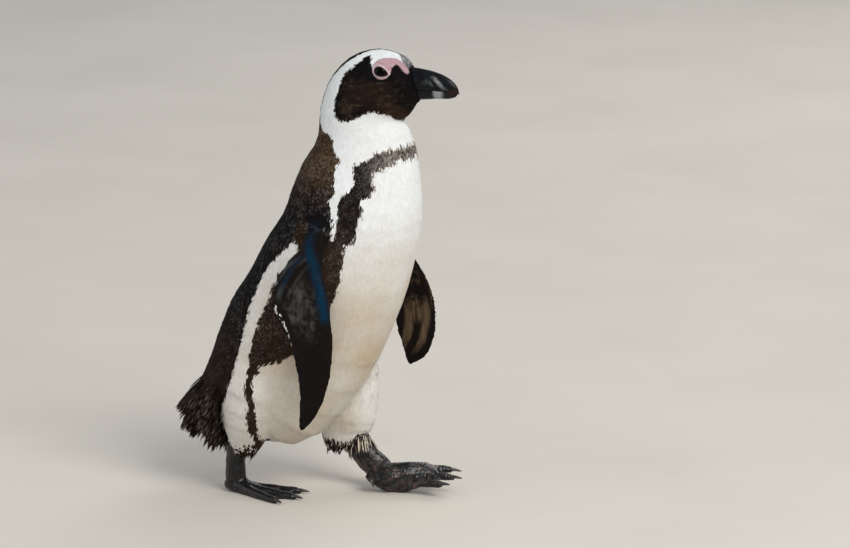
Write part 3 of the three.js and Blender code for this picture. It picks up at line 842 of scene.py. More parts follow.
def shape_lids(co, normals):
    """Draws the skin over each eyeball and leaves the almond open between two rolled lids."""
    co = co.copy()
    for side in SIDES:
        look = eye_frame(side)[1]
        height, ring, gap = eye_places(co, side)
        ball = np.sqrt(np.maximum(EYE_RADIUS ** 2 - ring ** 2, 0))
        near = (height > 0) & (ring < 17) & (normals @ look > 0.1)
        over = np.maximum(height, ball + 0.75 * ramp(ring, 11.0, 8.5))
        lid = over + 0.6 * np.exp(-((gap - 1.1) / 0.85) ** 2)
        lid = lid - 0.35 * np.exp(-((gap - 3.1) / 0.7) ** 2)
        sunk = np.minimum(lid, ball - 1.4)
        target = lid + (sunk - lid) * ramp(gap, 0.1, -0.9)
        fade = ramp(gap, 6.5, 4.5)
        co = co + np.where(near, (target - height) * fade, 0)[:, None] * look
    return co


def toe_places(co, side):
    """For points in mm of a foot, seen from above: distance along the nearest toe and to its
    line."""
    low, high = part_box(f"tarsus_{side}")
    ankle = np.array([(low.x + high.x) / 2, (low.y + high.y) / 2]) / MM
    if side == "left":
        ankle[0] = high.x / MM - 8
    best = np.full(len(co), 1e9)
    along = np.zeros(len(co))
    for toe in ("outer", "middle", "inner"):
        claw = np.array(sum(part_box(f"claw_{side}_{toe}"), Vector())) / 2 / MM
        way = unit(claw[:2] - ankle)
        off = co[:, :2] - ankle
        reach = off @ way
        gap = abs(off[:, 0] * way[1] - off[:, 1] * way[0])
        closer = (gap < best) & (reach > 8)
        best = np.where(closer, gap, best)
        along = np.where(closer, reach, along)
    return along, best


def scutes(co, normals, part):
    """Height in mm of the plates and pebbles on feet and tarsi, and the depth of their grooves,
    which the skin's material turns into painted shade.
    """
    height = np.zeros(len(co))
    groove = np.zeros(len(co))
    for side in SIDES:
        foot = part == FLESH.index(f"foot_{side}")
        both = foot | (part == FLESH.index(f"tarsus_{side}"))
        cells = pebbles(co[both], 3.0, 5)
        height[both] = 0.32 * ramp(cells, 0.02, 0.35) - 0.2 + 0.7 * noise(co[both], 7.5, 24)
        groove[both] = ramp(cells, 0.16, 0.02)
        along, gap = toe_places(co, side)
        plate = foot & (normals[:, 2] > 0.25) & (gap < 6.0) & (along > 14)
        beat = abs(np.sin(np.pi * along / 3.6 + 0.5 * noise(co, 8, 21)))
        height[plate] = (0.5 * beat[plate] ** 0.6 - 0.25) * ramp(gap[plate], 6.0, 4.6)
        groove[plate] = ramp(beat[plate], 0.42, 0.1)
        web = foot & (gap >= 6.0) & (along > 10)
        folds = 0.8 * noise(co[web] * (0.5, 1, 1), 6.0, 22) + 0.3 * noise(co[web], 2.2, 23)
        height[web] += folds
    return height, groove


def tail_fan(p):
    """The way the tail's feathers point: spread out from a hub in the rump."""
    return unit(p - TAIL_HUB)


def lie_of_feathers(p, part):
    """The way each feather points, from root to tip: down the body from the bill to the tail and
    down each limb."""
    _, way, _ = near_line(p[:, (0, 2)], SPINE)
    lie = np.column_stack([-way[:, 0], np.zeros(len(p)), -way[:, 1]])
    lie += (tail_fan(p) - lie) * ramp(p[:, 0], -95, -122)[:, None]
    for side in SIDES:
        root, tip = (np.array(v, float) for v in FLIPPERS[side][:2])
        lie[part == FLESH.index(f"flipper_{side}")] = unit(tip - root) + (-0.12, 0, 0)
        lie[part == FLESH.index(f"thigh_{side}")] = unit(np.array([-0.12, 0, -1.0]))
    return lie


def coat_numbers(p, part):
    """Which coat piece grows at each point, by its number in COATS; 0 where the skin is bare."""
    _, _, behind = near_line(p[:, (0, 2)], SPINE)
    on = {name: part == number for number, name in enumerate(FLESH)}
    number = np.zeros(len(p), int)
    number[on["head"]] = 1
    number[on["neck"]] = 2
    back, front = on["trunk"] & (behind > 0), on["trunk"] & ~(behind > 0)
    number[back] = 3
    number[back & (p[:, 2] < 200)] = 4
    number[front] = 5
    number[front & (p[:, 2] < 225)] = 6
    number[on["tail"]] = 4
    for side, own in (("right", 7), ("left", 8)):
        flipper = on[f"flipper_{side}"]
        number[flipper] = 3
        number[flipper & (flipper_places(p, side)[0] > SHOULDER_END)] = own
    number[on["thigh_right"] | on["thigh_left"]] = 9
    return number


def even_skin(surface):
    """A smooth closed mesh round the flesh. Each part is smoothed as far as its forms allow."""
    mesh = voxel_skin(flesh_union())
    co, edges = places(mesh), edge_ends(mesh)
    p, part = upright(co), nearest_parts(surface, co)
    rounds = by_part(SMOOTHING, part)
    for side in SIDES:
        shoulder = flipper_places(p, side)[0] < 0.13
        shoulder &= part == FLESH.index(f"flipper_{side}")
        rounds = np.where(shoulder, SMOOTHING["trunk"], rounds)
    rounds = np.where((p[:, 0] > 104) & (p[:, 2] > 436), 8, rounds)
    rounds = smoothed(rounds, edges, 6).astype(int)
    put(mesh, smoothed(co, edges, rounds, no_shrink))
    return mesh


def divide_skin(mesh, surface):
    """Divides legs, feet and the eyes' surroundings once more, and the lids a second time."""
    eyes = [eye_frame(side)[0] for side in SIDES]
    for reach, with_legs in ((22, True), (17, False)):
        co = places(mesh)
        chosen = np.min([np.linalg.norm(co / MM - eye, axis=1) for eye in eyes], axis=0) < reach
        if with_legs:
            chosen |= np.isin(KINDS[nearest_parts(surface, co)], LEG_PARTS)
        refine(mesh, chosen)


def sink_skin(mesh, part, edges):
    """Sinks the skin by the coat's depth, draws the lids over the eyes and raises scutes and
    wrinkles. Returns the places in mm, how far inside the bare patch they are and the grooves."""
    co, normals = places(mesh) / MM, outward(mesh)
    p = upright(co * MM)
    bare = inside(p[:, (0, 2)], BARE_PATCH)
    bare = np.maximum(bare, 1.2 - from_openings(co))
    bare = np.where((KINDS[part] == "head") & (abs(p[:, 1]) > 3), bare, -50.0)
    depth = smoothed(by_part(COAT_DEPTH, part), edges, 14)
    depth = depth * ramp(bare, 1.0, -1.5) + GAP_FILL * 0.5 + 0.1
    co = co - normals * depth[:, None]
    put(mesh, co * MM)
    normals = outward(mesh)
    co = shape_lids(co, normals)
    wrinkle = 0.4 * ramp(bare, -0.5, 1.5) * (1 + 0.4 * noise(co, 1.3, 31))
    wrinkle = wrinkle * ramp(from_openings(co), 0.5, 2.0)
    co = co + normals * wrinkle[:, None]
    height, groove = scutes(co, normals, part)
    sole = co[:, 2] < 0.6
    co = co + normals * (height * ~sole)[:, None]
    co[:, 2] = np.maximum(co[:, 2], FLOOR_CLEARANCE)
    put(mesh, co * MM)
    return co, bare, groove


def paint_skin(mesh, co, part, edges, bare, groove):
    """Stores what the skin's material reads."""
    p = upright(co * MM)
    mark, brown, warm = body_marks(p)
    tan, blue, grey = (np.zeros(len(p)) for _ in range(3))
    for side in SIDES:
        on = part == FLESH.index(f"flipper_{side}")
        mark[on], tan[on], warm[on], blue[on], grey[on] = flipper_marks(p[on], side)
    mark = np.where(KINDS[part] == "thigh", np.maximum(mark, ring_of_dark(p)), mark)
    openings = from_openings(co)
    legs = np.isin(KINDS[part], LEG_PARTS)
    right_leg = np.isin(part, [FLESH.index("foot_right"), FLESH.index("tarsus_right")])
    for name, values in {
        "dark": ramp(mark, -0.6, 0.6), "brown": brown, "warm": warm, "tan": tan, "blue": blue,
        # lid: a painted shadow along the edge of the lids.
        "grey": grey, "bare": ramp(bare, -0.5, 0.4), "lid": ramp(openings, 1.1, 0.6),
        # groove: painted shade in the grooves between the scales.
        "ring": ramp(openings, 3.2, 2.2) * ramp(openings, 0.8, 1.3), "groove": groove,
        "leg": smoothed(legs.astype(float), edges, 3), "dusky": 0.75 * right_leg,
    }.items():
        store(mesh, name, values)


def comb_skin(mesh, co, part, edges, bare):
    """Stores what the coat's nodes read: where, how long and which way the feathers grow."""
    p, normals, kind = upright(co * MM), outward(mesh), KINDS[part]
    x, y, z = p.T
    store(mesh, "lie", unit(smoothed(lie_of_feathers(p, part), edges, 30)), "FLOAT_VECTOR")
    store(mesh, "out", unit(smoothed(normals, edges, 6)), "FLOAT_VECTOR")
    size = by_part(VANE_LENGTH, part)
    for side in SIDES:
        shoulder = flipper_places(p, side)[0] < 0.04
        shoulder &= part == FLESH.index(f"flipper_{side}")
        size = np.where(shoulder, VANE_LENGTH["trunk"], size)
    face = ramp(x, 40, 100) * (kind == "head")
    store(mesh, "size", smoothed(size, edges, 16) * (1 - 0.35 * face) * MM)
    under_bill = (x > 113.5) & (z > 462.5)
    cover = (bare < -0.3) & ~np.isin(kind, LEG_PARTS) & ~under_bill
    store(mesh, "cover", cover.astype(float))
    ring = ring_of_dark(p)
    skirt = (kind == "thigh") * ramp(ring, -2, 1) * ramp(ring, 14, 10)
    belly = (kind == "trunk") & (z < 60) & (abs(x + 50) < 18) & (y < -25)
    store(mesh, "skirt", np.maximum(skirt, 0.5 * belly))
    shank = np.isin(kind, ("thigh", "tarsus")) & (y > 0) & (x > 10)
    store(mesh, "streaks", shank * ramp(abs(ring + 1), 9, 6))
    corners = read(mesh.loops, "vertex_index", np.int32)
    first = corners[read(mesh.polygons, "loop_start", np.int32)]
    store(mesh, "coat", coat_numbers(p, part)[first], "INT", "FACE")


def build_skin(settings):
    """The skin: evened, divided where it is fine, sunk under the coat, painted and combed."""
    surface = frame_surface()
    mesh = even_skin(surface)
    divide_skin(mesh, surface)
    co, edges = places(mesh), edge_ends(mesh)
    part = nearest_parts(surface, co)
    rounds = np.where(np.isin(KINDS[part], LEG_PARTS), 4, 2)
    put(mesh, smoothed(co, edges, rounds, no_shrink))
    co, bare, groove = sink_skin(mesh, part, edges)
    paint_skin(mesh, co, part, edges, bare, groove)
    comb_skin(mesh, co, part, edges, bare)
    mesh.polygons.foreach_set("use_smooth", [True] * len(mesh.polygons))
    mesh.materials.append(skin_material(settings))
    return stand_in("skin", mesh_object("skin", mesh), "bare_skin", *FLESH)


# ---------------------------------------------------------------- coat


def vane(name, shoulder, waist, crown=0.028, droop=0.03):
    """A closed feather one unit long: its root at 0, its tip at x = 1, its width one unit at most.
    `shoulder` and `waist` are [x, half width] near the root and near the tip."""
    points = [(0, 0, 0)]
    for x, half in (shoulder, waist):
        low = -droop * x * x
        points += [(x, half, low), (x, -half, low), (x, 0, crown + low)]
    points.append((1, 0, -droop))
    faces = [
        (0, 3, 1), (0, 2, 3), (1, 3, 6), (1, 6, 4), (3, 2, 5), (3, 5, 6), (4, 6, 7), (6, 5, 7),
        (0, 1, 2), (1, 4, 5), (1, 5, 2), (4, 7, 5),
    ]
    rim = ((0, 1), (0, 2), (1, 4), (2, 5), (4, 7), (5, 7))
    mesh = new_mesh(name, points, faces)
    for edge in mesh.edges:
        edge.use_edge_sharp = tuple(sorted(edge.vertices)) in rim
    co = np.array(points)
    store(mesh, "along", co[:, 0])
    store(mesh, "across", co[:, 1])
    return mesh_object(name, mesh)


def coat_tree():
    """Sets feathers on the skin: each turned to the lie of the coat, lifted a little and strayed
    by chance."""
    tree = bpy.data.node_groups.new("feather_coat", "GeometryNodeTree")
    for name, kind in (
        ("Geometry", "Geometry"), ("Piece", "Int"), ("Spacing", "Float"), ("Lift", "Float"),
        ("Stray", "Float"), ("Fray", "Float"), ("Width", "Float"), ("Length", "Float"),
        ("Seed", "Int"), ("Feather", "Object"), ("Finish", "Material"),
    ):
        tree.interface.new_socket(name, in_out="INPUT", socket_type="NodeSocket" + kind)
    tree.interface.new_socket("Geometry", in_out="OUTPUT", socket_type="NodeSocketGeometry")
    made = {socket.name: socket for socket in add(tree, "NodeGroupInput").outputs}

    def step(key, kind, inputs, settings=None, output=0):
        """Adds a node. Inputs may name the tree's own inputs or earlier steps."""
        inputs = {k: made.get(v, v) if isinstance(v, str) else v for k, v in inputs.items()}
        made[key] = add(tree, kind, settings, inputs).outputs[output]

    for name, kind in (
        ("coat", "INT"), ("cover", "FLOAT"), ("size", "FLOAT"), ("out", "FLOAT_VECTOR"),
        ("lie", "FLOAT_VECTOR"),
    ):
        step(name.title(), "GeometryNodeInputNamedAttribute", {"Name": name}, {"data_type": kind})
    step("Mine", "FunctionNodeCompare", {2: "Coat", 3: "Piece"}, {
        "data_type": "INT", "operation": "EQUAL"})
    for key, operation, first, second in (
        ("Square", "MULTIPLY", "Spacing", "Spacing"), ("Density", "DIVIDE", ROOTS_TRIED, "Square"),
        ("Back", "MULTIPLY", "Stray", -1.0), ("Less", "SUBTRACT", 1.0, "Fray"),
        ("More", "ADD", 1.0, "Fray"),
    ):
        step(key, "ShaderNodeMath", {0: first, 1: second}, {"operation": operation})
    for shift, (key, low, high) in enumerate((
        ("Lifted", "Less", "More"), ("Rolled", -0.3, 0.3), ("Turned", "Back", "Stray"),
        ("Grown", "Less", "More"),
    ), 1):
        step("Own Seed", "ShaderNodeMath", {0: "Seed", 1: shift}, {"operation": "ADD"})
        step(key, "FunctionNodeRandomValue", {2: low, 3: high, 8: "Own Seed"}, {
            "data_type": "FLOAT"}, 1)
    for key, first, second in (
        ("Up", "Lift", "Lifted"), ("Pitch", "Up", -1.0), ("Roll", "Rolled", "Fray"),
        ("Own Length", "Size", "Length"), ("Long", "Own Length", "Grown"),
        ("Wide", "Long", "Width"),
    ):
        step(key, "ShaderNodeMath", {0: first, 1: second}, {"operation": "MULTIPLY"})
    step("Roots", "GeometryNodeDistributePointsOnFaces", {
        "Mesh": "Geometry", "Selection": "Mine", "Distance Min": "Spacing",
        "Density Max": "Density", "Density Factor": "Cover", "Seed": "Seed",
    }, {"distribute_method": "POISSON"})
    step("Stand", "FunctionNodeAxesToRotation", {0: "Out", 1: "Lie"}, {
        "primary_axis": "Z", "secondary_axis": "X"})
    step("Turn", "ShaderNodeCombineXYZ", {"X": "Roll", "Y": "Pitch", "Z": "Turned"})
    step("Turn", "FunctionNodeEulerToRotation", {0: "Turn"})
    step("Stand", "FunctionNodeRotateRotation", {0: "Stand", 1: "Turn"}, {
        "rotation_space": "LOCAL"})
    step("Scale", "ShaderNodeCombineXYZ", {"X": "Long", "Y": "Wide", "Z": "Long"})
    step("Vane", "GeometryNodeObjectInfo", {"Object": "Feather"}, None, "Geometry")
    step("Plumage", "GeometryNodeInstanceOnPoints", {
        "Points": "Roots", "Instance": "Vane", "Rotation": "Stand", "Scale": "Scale"})
    step("Plumage", "GeometryNodeRealizeInstances", {"Geometry": "Plumage"})
    step("Plumage", "GeometryNodeSetMaterial", {"Geometry": "Plumage", "Material": "Finish"})
    add(tree, "NodeGroupOutput", None, {0: made["Plumage"]})
    return tree


def grow(name, ground, tree, feather, finish, inputs):
    """Grows feathers on the ground mesh and returns them as a plain mesh object."""
    thing = mesh_object(name, ground)
    grown = thing.modifiers.new("coat", "NODES")
    grown.node_group = tree
    inputs = {**inputs, "Feather": feather, "Finish": finish}
    for socket in tree.interface.items_tree:
        if socket.in_out == "INPUT" and socket.name in inputs:
            grown[socket.identifier] = inputs[socket.name]
    mesh = plain_copy(thing)
    bpy.data.objects.remove(thing)
    if not len(mesh.polygons):
        raise RuntimeError(f"no feathers grew on {name}")
    return mesh_object(name, mesh)


def fringe_ground(name, skin, length):
    """A copy of the skin on which only the roots of a ragged fringe have cover."""
    ground = skin.copy()
    layers = ground.attributes
    p = upright(places(ground))
    lie, out = (read(layers[key].data, "vector", np.float32, 3) for key in ("lie", "out"))
    cover = read(layers[FRINGE_COVER[name]].data, "value", np.float32)
    if name == "coat_tail_quills":
        lie = tail_fan(p)
        cover = cover * ramp((outward(ground) * lie).sum(1), 0.15, 0.4)
        cover = cover * ramp(p[:, 0], -84, -96) * ramp(p[:, 2], 135, 120)
        size = length * (0.95 + 0.5 * noise(p, 6, 51)) * (1 - 0.4 * ramp(p[:, 0], -138, -152))
        out = out - lie * (out * lie).sum(1, keepdims=True)
    elif name == "coat_ankle_streaks":
        size = length * (0.85 + 0.4 * noise(p, 5, 53))
        lie[:] = (-0.05, 0, -1.0)
    else:
        size = length * (0.8 + 0.7 * noise(p, 5, 52))
    for key, values in (("cover", cover), ("size", size * MM)):
        layers[key].data.foreach_set("value", values.astype(np.float32))
    for key, values in (("lie", lie), ("out", out)):
        layers[key].data.foreach_set("vector", unit(values).astype(np.float32).ravel())
    layers["coat"].data.foreach_set("value", np.ones(len(ground.polygons), np.int32))
    return ground


def unwrapped(p, name):
    """Places on an unwrap of the skin's own shape: round and along the body, or across and along a
    flipper, its outer face beside its inner one."""
    if "flipper" in name:
        share, chord, out = flipper_places(p, name.split("_")[-1])
        across = np.clip((chord + 48) / 82, 0, 1) * 0.48
        return np.column_stack([across + np.where(out > 0, 0.0, 0.5), np.clip(share, 0, 1)])
    share, _, behind = near_line(p[:, (0, 2)], SPINE)
    return np.column_stack([np.arctan2(p[:, 1], behind) / (2 * math.pi) + 0.5, share])


def dress(coat, name, seed):
    """Gives each feather its markings, its own chance value and its patch on the bake map."""
    mesh = coat.data
    for layer in [a.name for a in mesh.attributes if a.name in SKIN_LAYERS]:
        mesh.attributes.remove(mesh.attributes[layer])
    vanes = places(mesh).reshape(-1, VANE_POINTS, 3)
    count = len(vanes)
    roots, tips = upright(vanes[:, 0]), upright(vanes[:, VANE_POINTS // 2:].mean(1))
    x, y, z = tips.T
    random = np.random.default_rng(seed)
    blur = random.normal(0, 0.7, count)
    if "flipper" in name:
        mark, tan, warm, blue, grey = flipper_marks(tips, name.split("_")[-1])
        brown = np.full(count, 0.1)
        extra = {"tan": tan, "blue": blue, "grey": grey}
    else:
        mark, brown, warm = body_marks(tips)
        neck = ramp(z, 330, 400)
        warm = np.where(mark + blur > 0, np.maximum(neck, 0.2 + 0.8 * brown), warm)
        fleck = np.clip(0.5 + 0.8 * noise(tips, 4.5, 61) + random.normal(0, 0.15, count), 0, 1)
        fleck = fleck * (0.35 + 0.65 * ramp(z, 100, 260))
        face = 0.65 * ramp(x, 30, 50) * ramp(z, 492, 478) * (z > 430)
        face = face * np.clip(0.45 + 1.2 * noise(tips * (0.28, 0.5, 1), 2.3, 63), 0, 1.3)
        fleck = fleck * np.maximum(ramp(z, 446, 432) * (0.75 + 0.4 * neck), face)
        # Painted reflection of the sky, carried on from the right flipper over the shoulder.
        blue = flipper_marks(tips, "right")[3] * (y < -58) * ramp(z, 250, 300)
        nape = ramp(z, 350, 385) * ramp(z, 436, 425) * ramp(x, 70, 40)
        extra = {
            "fleck": fleck * (mark > 0), "blue": blue * (name == "coat_back"),
            "tan": nape * 0.55 * random.random(count) ** 2,
        }
        if name == "coat_thighs":
            ring = ring_of_dark(tips) + random.normal(0, 2.5, count)
            mark = np.where(random.random(count) < 0.65, np.maximum(mark, ring), mark)
            brown = np.where(ring > 0, 0.8, brown)
        if name in FRINGES:
            pale = random.random(count) < 0.1 + 0.65 * ramp(x, 34, 52)
            pale &= name == "coat_ankle_streaks"
            mark = np.where(pale, -4.0, 4.0)
            brown = np.clip(0.55 + 0.3 * random.normal(0, 1, count), 0, 1)
            extra = {"fleck": random.random(count) ** 1.6}
            warm = np.full(count, 0.8)
        if name == "coat_rump":
            mark = np.where(roots[:, 0] < -112, 5.0, mark)
    chance = random.random(count)

    # The band fades over the chest, and the forehead is speckled with grey.
    faded = ramp(x, 66, 105) * ramp(z, 352, 386) * (z < 425)
    faded = faded * random.beta(1.1, 1.8, count) * 0.55
    warm = np.where((faded > 0) & (mark > -1), 0.45, warm)
    crest = ramp(x, 94, 103) * (z > 494) * (abs(y) < 14)
    warm = warm * (1 - crest)
    crest = crest * (0.2 + 0.5 * random.beta(1.4, 1.6, count))
    crest = crest * (0.5 + 0.5 * ramp(noise(tips, 3, 62), -0.5, 0.2))
    dark = ramp(mark + blur, -0.7, 0.7) * (1 - np.maximum(faded, crest))
    values = {"dark": dark, "brown": brown, "warm": warm, "chance": chance, **extra}
    for key, each in values.items():
        store(mesh, key, np.repeat(each, VANE_POINTS))
    bake_map(mesh, unwrapped(roots, name))


def bake_map(mesh, root_places):
    """Gives each feather a patch of its own where its root lies on the unwrap."""
    low, high = root_places.min(0), root_places.max(0)
    root_places = 0.01 + 0.98 * (root_places - low) / np.maximum(high - low, 1e-6)
    along = read(mesh.attributes["along"].data, "value", np.float32)
    across = read(mesh.attributes["across"].data, "value", np.float32)
    local = np.column_stack([across, along - 0.5]) * BAKE_PATCH
    uv = np.clip(np.repeat(root_places, VANE_POINTS, axis=0) + local, 0, 1)
    corners = read(mesh.loops, "vertex_index", np.int32)
    layer = mesh.uv_layers.new(name="OFBake")
    layer.data.foreach_set("uv", uv[corners].astype(np.float32).ravel())
    mesh.attributes.remove(mesh.attributes["across"])


def coat_inputs(settings, piece, seed, spacing, width, lift, stray, fray):
    """What the coat's nodes need for one coat piece or fringe."""
    return {
        "Piece": piece, "Seed": seed, "Spacing": spacing * MM * settings.feather_spacing,
        "Width": width, "Lift": math.radians(lift) * settings.feather_lift,
        "Stray": math.radians(stray), "Fray": fray, "Length": settings.feather_length,
    }


def build_coat(settings):
    """The coat's pieces over the skin, then the ragged fringes at its ends."""
    tree = coat_tree()
    skin = bpy.data.objects["skin"].data
    plume, scale = feather_material(settings), flipper_material(settings)
    feather = vane("body_vane", (0.32, 0.42), (0.72, 0.36))
    for name, (number, spacing, *rest) in COATS.items():
        spacing *= 1
        inputs = coat_inputs(settings, number, number, spacing, *rest)
        coat = grow(name, skin, tree, feather, scale if "flipper" in name else plume, inputs)
        dress(coat, name, number)
        stand_in(name, coat, "dark_plumage" if number in (1, 7, 8) else "white_plumage")
    quill = vane("quill", (0.3, 0.46), (0.7, 0.36), 0.02)
    for name, (spacing, length, *rest) in FRINGES.items():
        inputs = coat_inputs(settings, 1, len(name), spacing, *rest)
        coat = grow(name, fringe_ground(name, skin, length), tree, quill, plume, inputs)
        dress(coat, name, len(name))
        stand_in(name, coat, "dark_plumage")
    bpy.data.objects.remove(feather)
    bpy.data.objects.remove(quill)


# ---------------------------------------------------------------- bill, eyes, claws

# Rows along the upper half: ridge [x, z], cutting edge [x, z] and half width; and the lower half.
UPPER_BILL = (
    (104, 497, 104, 473.5, 8.6), (118, 497, 118, 473.5, 8.8), (131, 495.5, 131, 473.5, 8.0),
    (142, 493.2, 142, 473.4, 7.2), (150, 490.5, 150, 473.0, 6.5), (157.3, 487, 157, 472.6, 5.6),
    (163.2, 482.4, 162.2, 472.2, 4.4), (166.8, 477.4, 165.7, 471.4, 3.1),
    (168.5, 472.8, 167.5, 470.2, 1.7), (169, 469.8, 168.6, 469.3, 0.5),
)
LOWER_BILL = (
    (104, 473.2, 104, 461, 8.3), (118, 473.2, 118, 461, 8.4), (131, 473.2, 131, 461.8, 7.6),
    (142, 473.1, 142, 463.2, 6.8), (150.5, 472.7, 150.5, 463.6, 6.0), (158, 472.2, 158, 464.2, 5.0),
    (163, 471.6, 164, 466, 3.6), (165.6, 470.8, 166.6, 468.6, 1.9), (166.6, 470.2, 167, 469.8, 0.4),
)


def through(rows, t):
    """Smooth (Catmull-Rom) values through rows, t from 0 to 1."""
    rows = np.asarray(rows, float)
    at = np.asarray(t) * (len(rows) - 1)
    i = np.clip(at.astype(int), 0, len(rows) - 2)
    f = (at - i)[:, None]
    b, c = rows[i], rows[i + 1]
    a = np.where((i > 0)[:, None], rows[np.maximum(i - 1, 0)], 2 * b - c)
    d = np.where((i < len(rows) - 2)[:, None], rows[np.minimum(i + 2, len(rows) - 1)], 2 * c - b)
    bend = (2 * a - 5 * b + 4 * c - d) * f**2 + (-a + 3 * b - 3 * c + d) * f**3
    return 0.5 * (2 * b + (c - a) * f + bend)


def closed_loft(name, rings, material):
    """A closed mesh through rings [ring, point, xyz] in metres. Each end closes on its middle."""
    count, sides, _ = rings.shape
    points = np.concatenate([rings.reshape(-1, 3), rings[:1].mean(1), rings[-1:].mean(1)])
    faces = []
    for ring in range(count - 1):
        for side in range(sides):
            a, b = ring * sides + side, ring * sides + (side + 1) % sides
            faces.append((a, b, b + sides, a + sides))
    for end, middle in ((0, count * sides), (count - 1, count * sides + 1)):
        for side in range(sides):
            a, b = end * sides + side, end * sides + (side + 1) % sides
            faces.append((b, a, middle) if end == 0 else (a, b, middle))
    mesh = new_mesh(name, points, faces)
    bm = bmesh.new()
    bm.from_mesh(mesh)
    bmesh.ops.recalc_face_normals(bm, faces=bm.faces)
    bm.to_mesh(mesh)
    bm.free()
    mesh.materials.append(material)
    return mesh_object(name, mesh)


def bill_half(name, rows, upper, material):
    """Half of the bill: an arch along its rows, closed by the flat where the halves meet, with the
    groove, nostril and ridges of the upper one."""
    steps, sides = 110, 56
    arch = 40  # points over the outside; the rest cross the flat
    t = np.linspace(0, 1, steps)
    row = through(rows, t)
    turn = np.linspace(0, math.pi, arch)
    side_way = np.concatenate([np.cos(turn), np.linspace(-1, 1, sides - arch + 2)[1:-1]])
    rise = np.concatenate([np.maximum(np.sin(turn), 0) ** 0.82, np.zeros(sides - arch)])
    edge, ridge = (row[:, 2:4], row[:, 0:2]) if upper else (row[:, 0:2], row[:, 2:4])
    x = edge[:, :1] + (ridge[:, :1] - edge[:, :1]) * rise
    z = edge[:, 1:] + (ridge[:, 1:] - edge[:, 1:]) * rise
    y = row[:, 4:5] * side_way * (1 - (0.10 if upper else 0.0) * rise**2)
    p = np.stack([x, y, z], -1)
    flat = p.reshape(-1, 3)
    push = np.zeros(x.shape)
    if upper:
        groove = np.exp(-((z - 486.5 + 0.10 * (x - 112)) / 1.5) ** 2) * ramp(x, 145, 128)
        nostril = np.exp(-((x - 124) / 3.4) ** 2 - ((z - 485.4) / 1.1) ** 2)
        saddle = np.exp(-((z - 477.5) / 1.2) ** 2) * ramp(x, 160, 140) * 0.35
        push -= 0.85 * groove + 1.1 * nostril + saddle
        sway = 1.2 * noise(flat, 9, 41).reshape(x.shape)
        ridges = np.sin((x * 0.8 + z * 1.15) * 1.25 + sway)
        push += 0.17 * ridges * ramp(x, 150, 136) * ramp(z, 492, 488)
    else:
        push -= 0.5 * np.exp(-((z - 468.6) / 1.1) ** 2) * ramp(x, 160, 140)
    push += 0.12 * noise(flat * (0.35, 1, 1), 2.2, 42).reshape(x.shape)
    outer = np.arange(sides) < arch
    away = np.stack([np.zeros(x.shape), y, (z - edge[:, 1:]) * 0.6], -1)
    p = p + unit(away) * (push * outer * ramp(t, 1.0, 0.93)[:, None])[..., None]
    return closed_loft(name, lean(p.reshape(-1, 3)).reshape(p.shape), material)


def mark_bill(mesh, upper):
    """Stores the pale cross band, partly a painted soft highlight, the painted reflections on the
    ridges and the brown edge on half of the bill.
    """
    p = upright(places(mesh))
    x, y, z = p.T
    wobble = noise(p, 3.0, 43)
    mottle = noise(p, 1.6, 45)
    worn = np.zeros(len(x))
    if upper:
        # The pale cross band, partly real and partly a painted soft highlight.
        middle = 143 + 1.05 * (486 - z)
        pale = ramp(abs(x - middle + 1.6 * wobble), 4.4, 0.0)
        pale = pale * ramp(z, 472.5, 480) * ramp(z, 491, 484)
        pale = pale * (0.85 + 0.3 * mottle) * (1 - 0.5 * ramp(z, 483, 476))
        edge = ramp(z, 475.0, 473.6) * ramp(x, 154, 160) * 0.7
        # Painted reflections: light dashes along the diagonal ridges near the base.
        slant = np.column_stack([(1.1 * x + z) / 1.5, (x - 1.1 * z) / 11, y / 9])
        worn = ramp(noise(slant, 1.0, 41), 0.2, 0.8) * ramp(x, 148, 138) * ramp(x, 116, 124)
        worn = worn * ramp(z, 490, 486) * ramp(z, 477, 480)
    else:
        pale = ramp(abs(x - 145 + 0.8 * wobble) + 0.35 * np.minimum(145 - x, 0), 6.0, 2.0)
        pale = pale * (0.9 + 0.25 * mottle)
        edge = ramp(z, 468.5, 471) * ramp(x, 152, 158) * 0.8
    for name, values in (("worn", worn), ("pale", pale), ("edge", edge)):
        store(mesh, name, np.clip(values, 0, 1))


def build_bill(settings):
    """Both halves of the bill, in horn."""
    horn = horn_material(settings)
    for node, rows in (("bill_upper", UPPER_BILL), ("bill_lower", LOWER_BILL)):
        upper = node == "bill_upper"
        piece = bill_half(node + "_horn", rows, upper, horn)
        mark_bill(piece.data, upper)
        stand_in(node + "_horn", piece, "bill_horn", node)


def build_eyes(settings):
    """Eyeballs with a slightly bulging cornea."""
    material = eye_material(settings)
    steps, sides = 40, 64
    angle = np.linspace(0.02, math.pi - 0.02, steps)[:, None]
    turn = np.linspace(0, 2 * math.pi, sides, endpoint=False)[None, :]
    radius = EYE_RADIUS + CORNEA_BULGE * np.exp(-((angle / 0.5) ** 2)) + 0 * turn
    for side in SIDES:
        centre, look, long_way, high_way = eye_frame(side)
        rings = centre + radius[..., None] * (
            np.cos(angle)[..., None] * look + (np.sin(angle) * np.cos(turn))[..., None] * long_way
            + (np.sin(angle) * np.sin(turn))[..., None] * high_way)
        ball = closed_loft(f"eyeball_{side}", rings * MM, material)
        off = (places(ball.data) / MM - centre) @ look
        store(ball.data, "pupil", ramp(off, EYE_RADIUS * 0.88, EYE_RADIUS * 0.92))
        stand_in(f"eyeball_{side}", ball, "eye", f"eye_{side}")


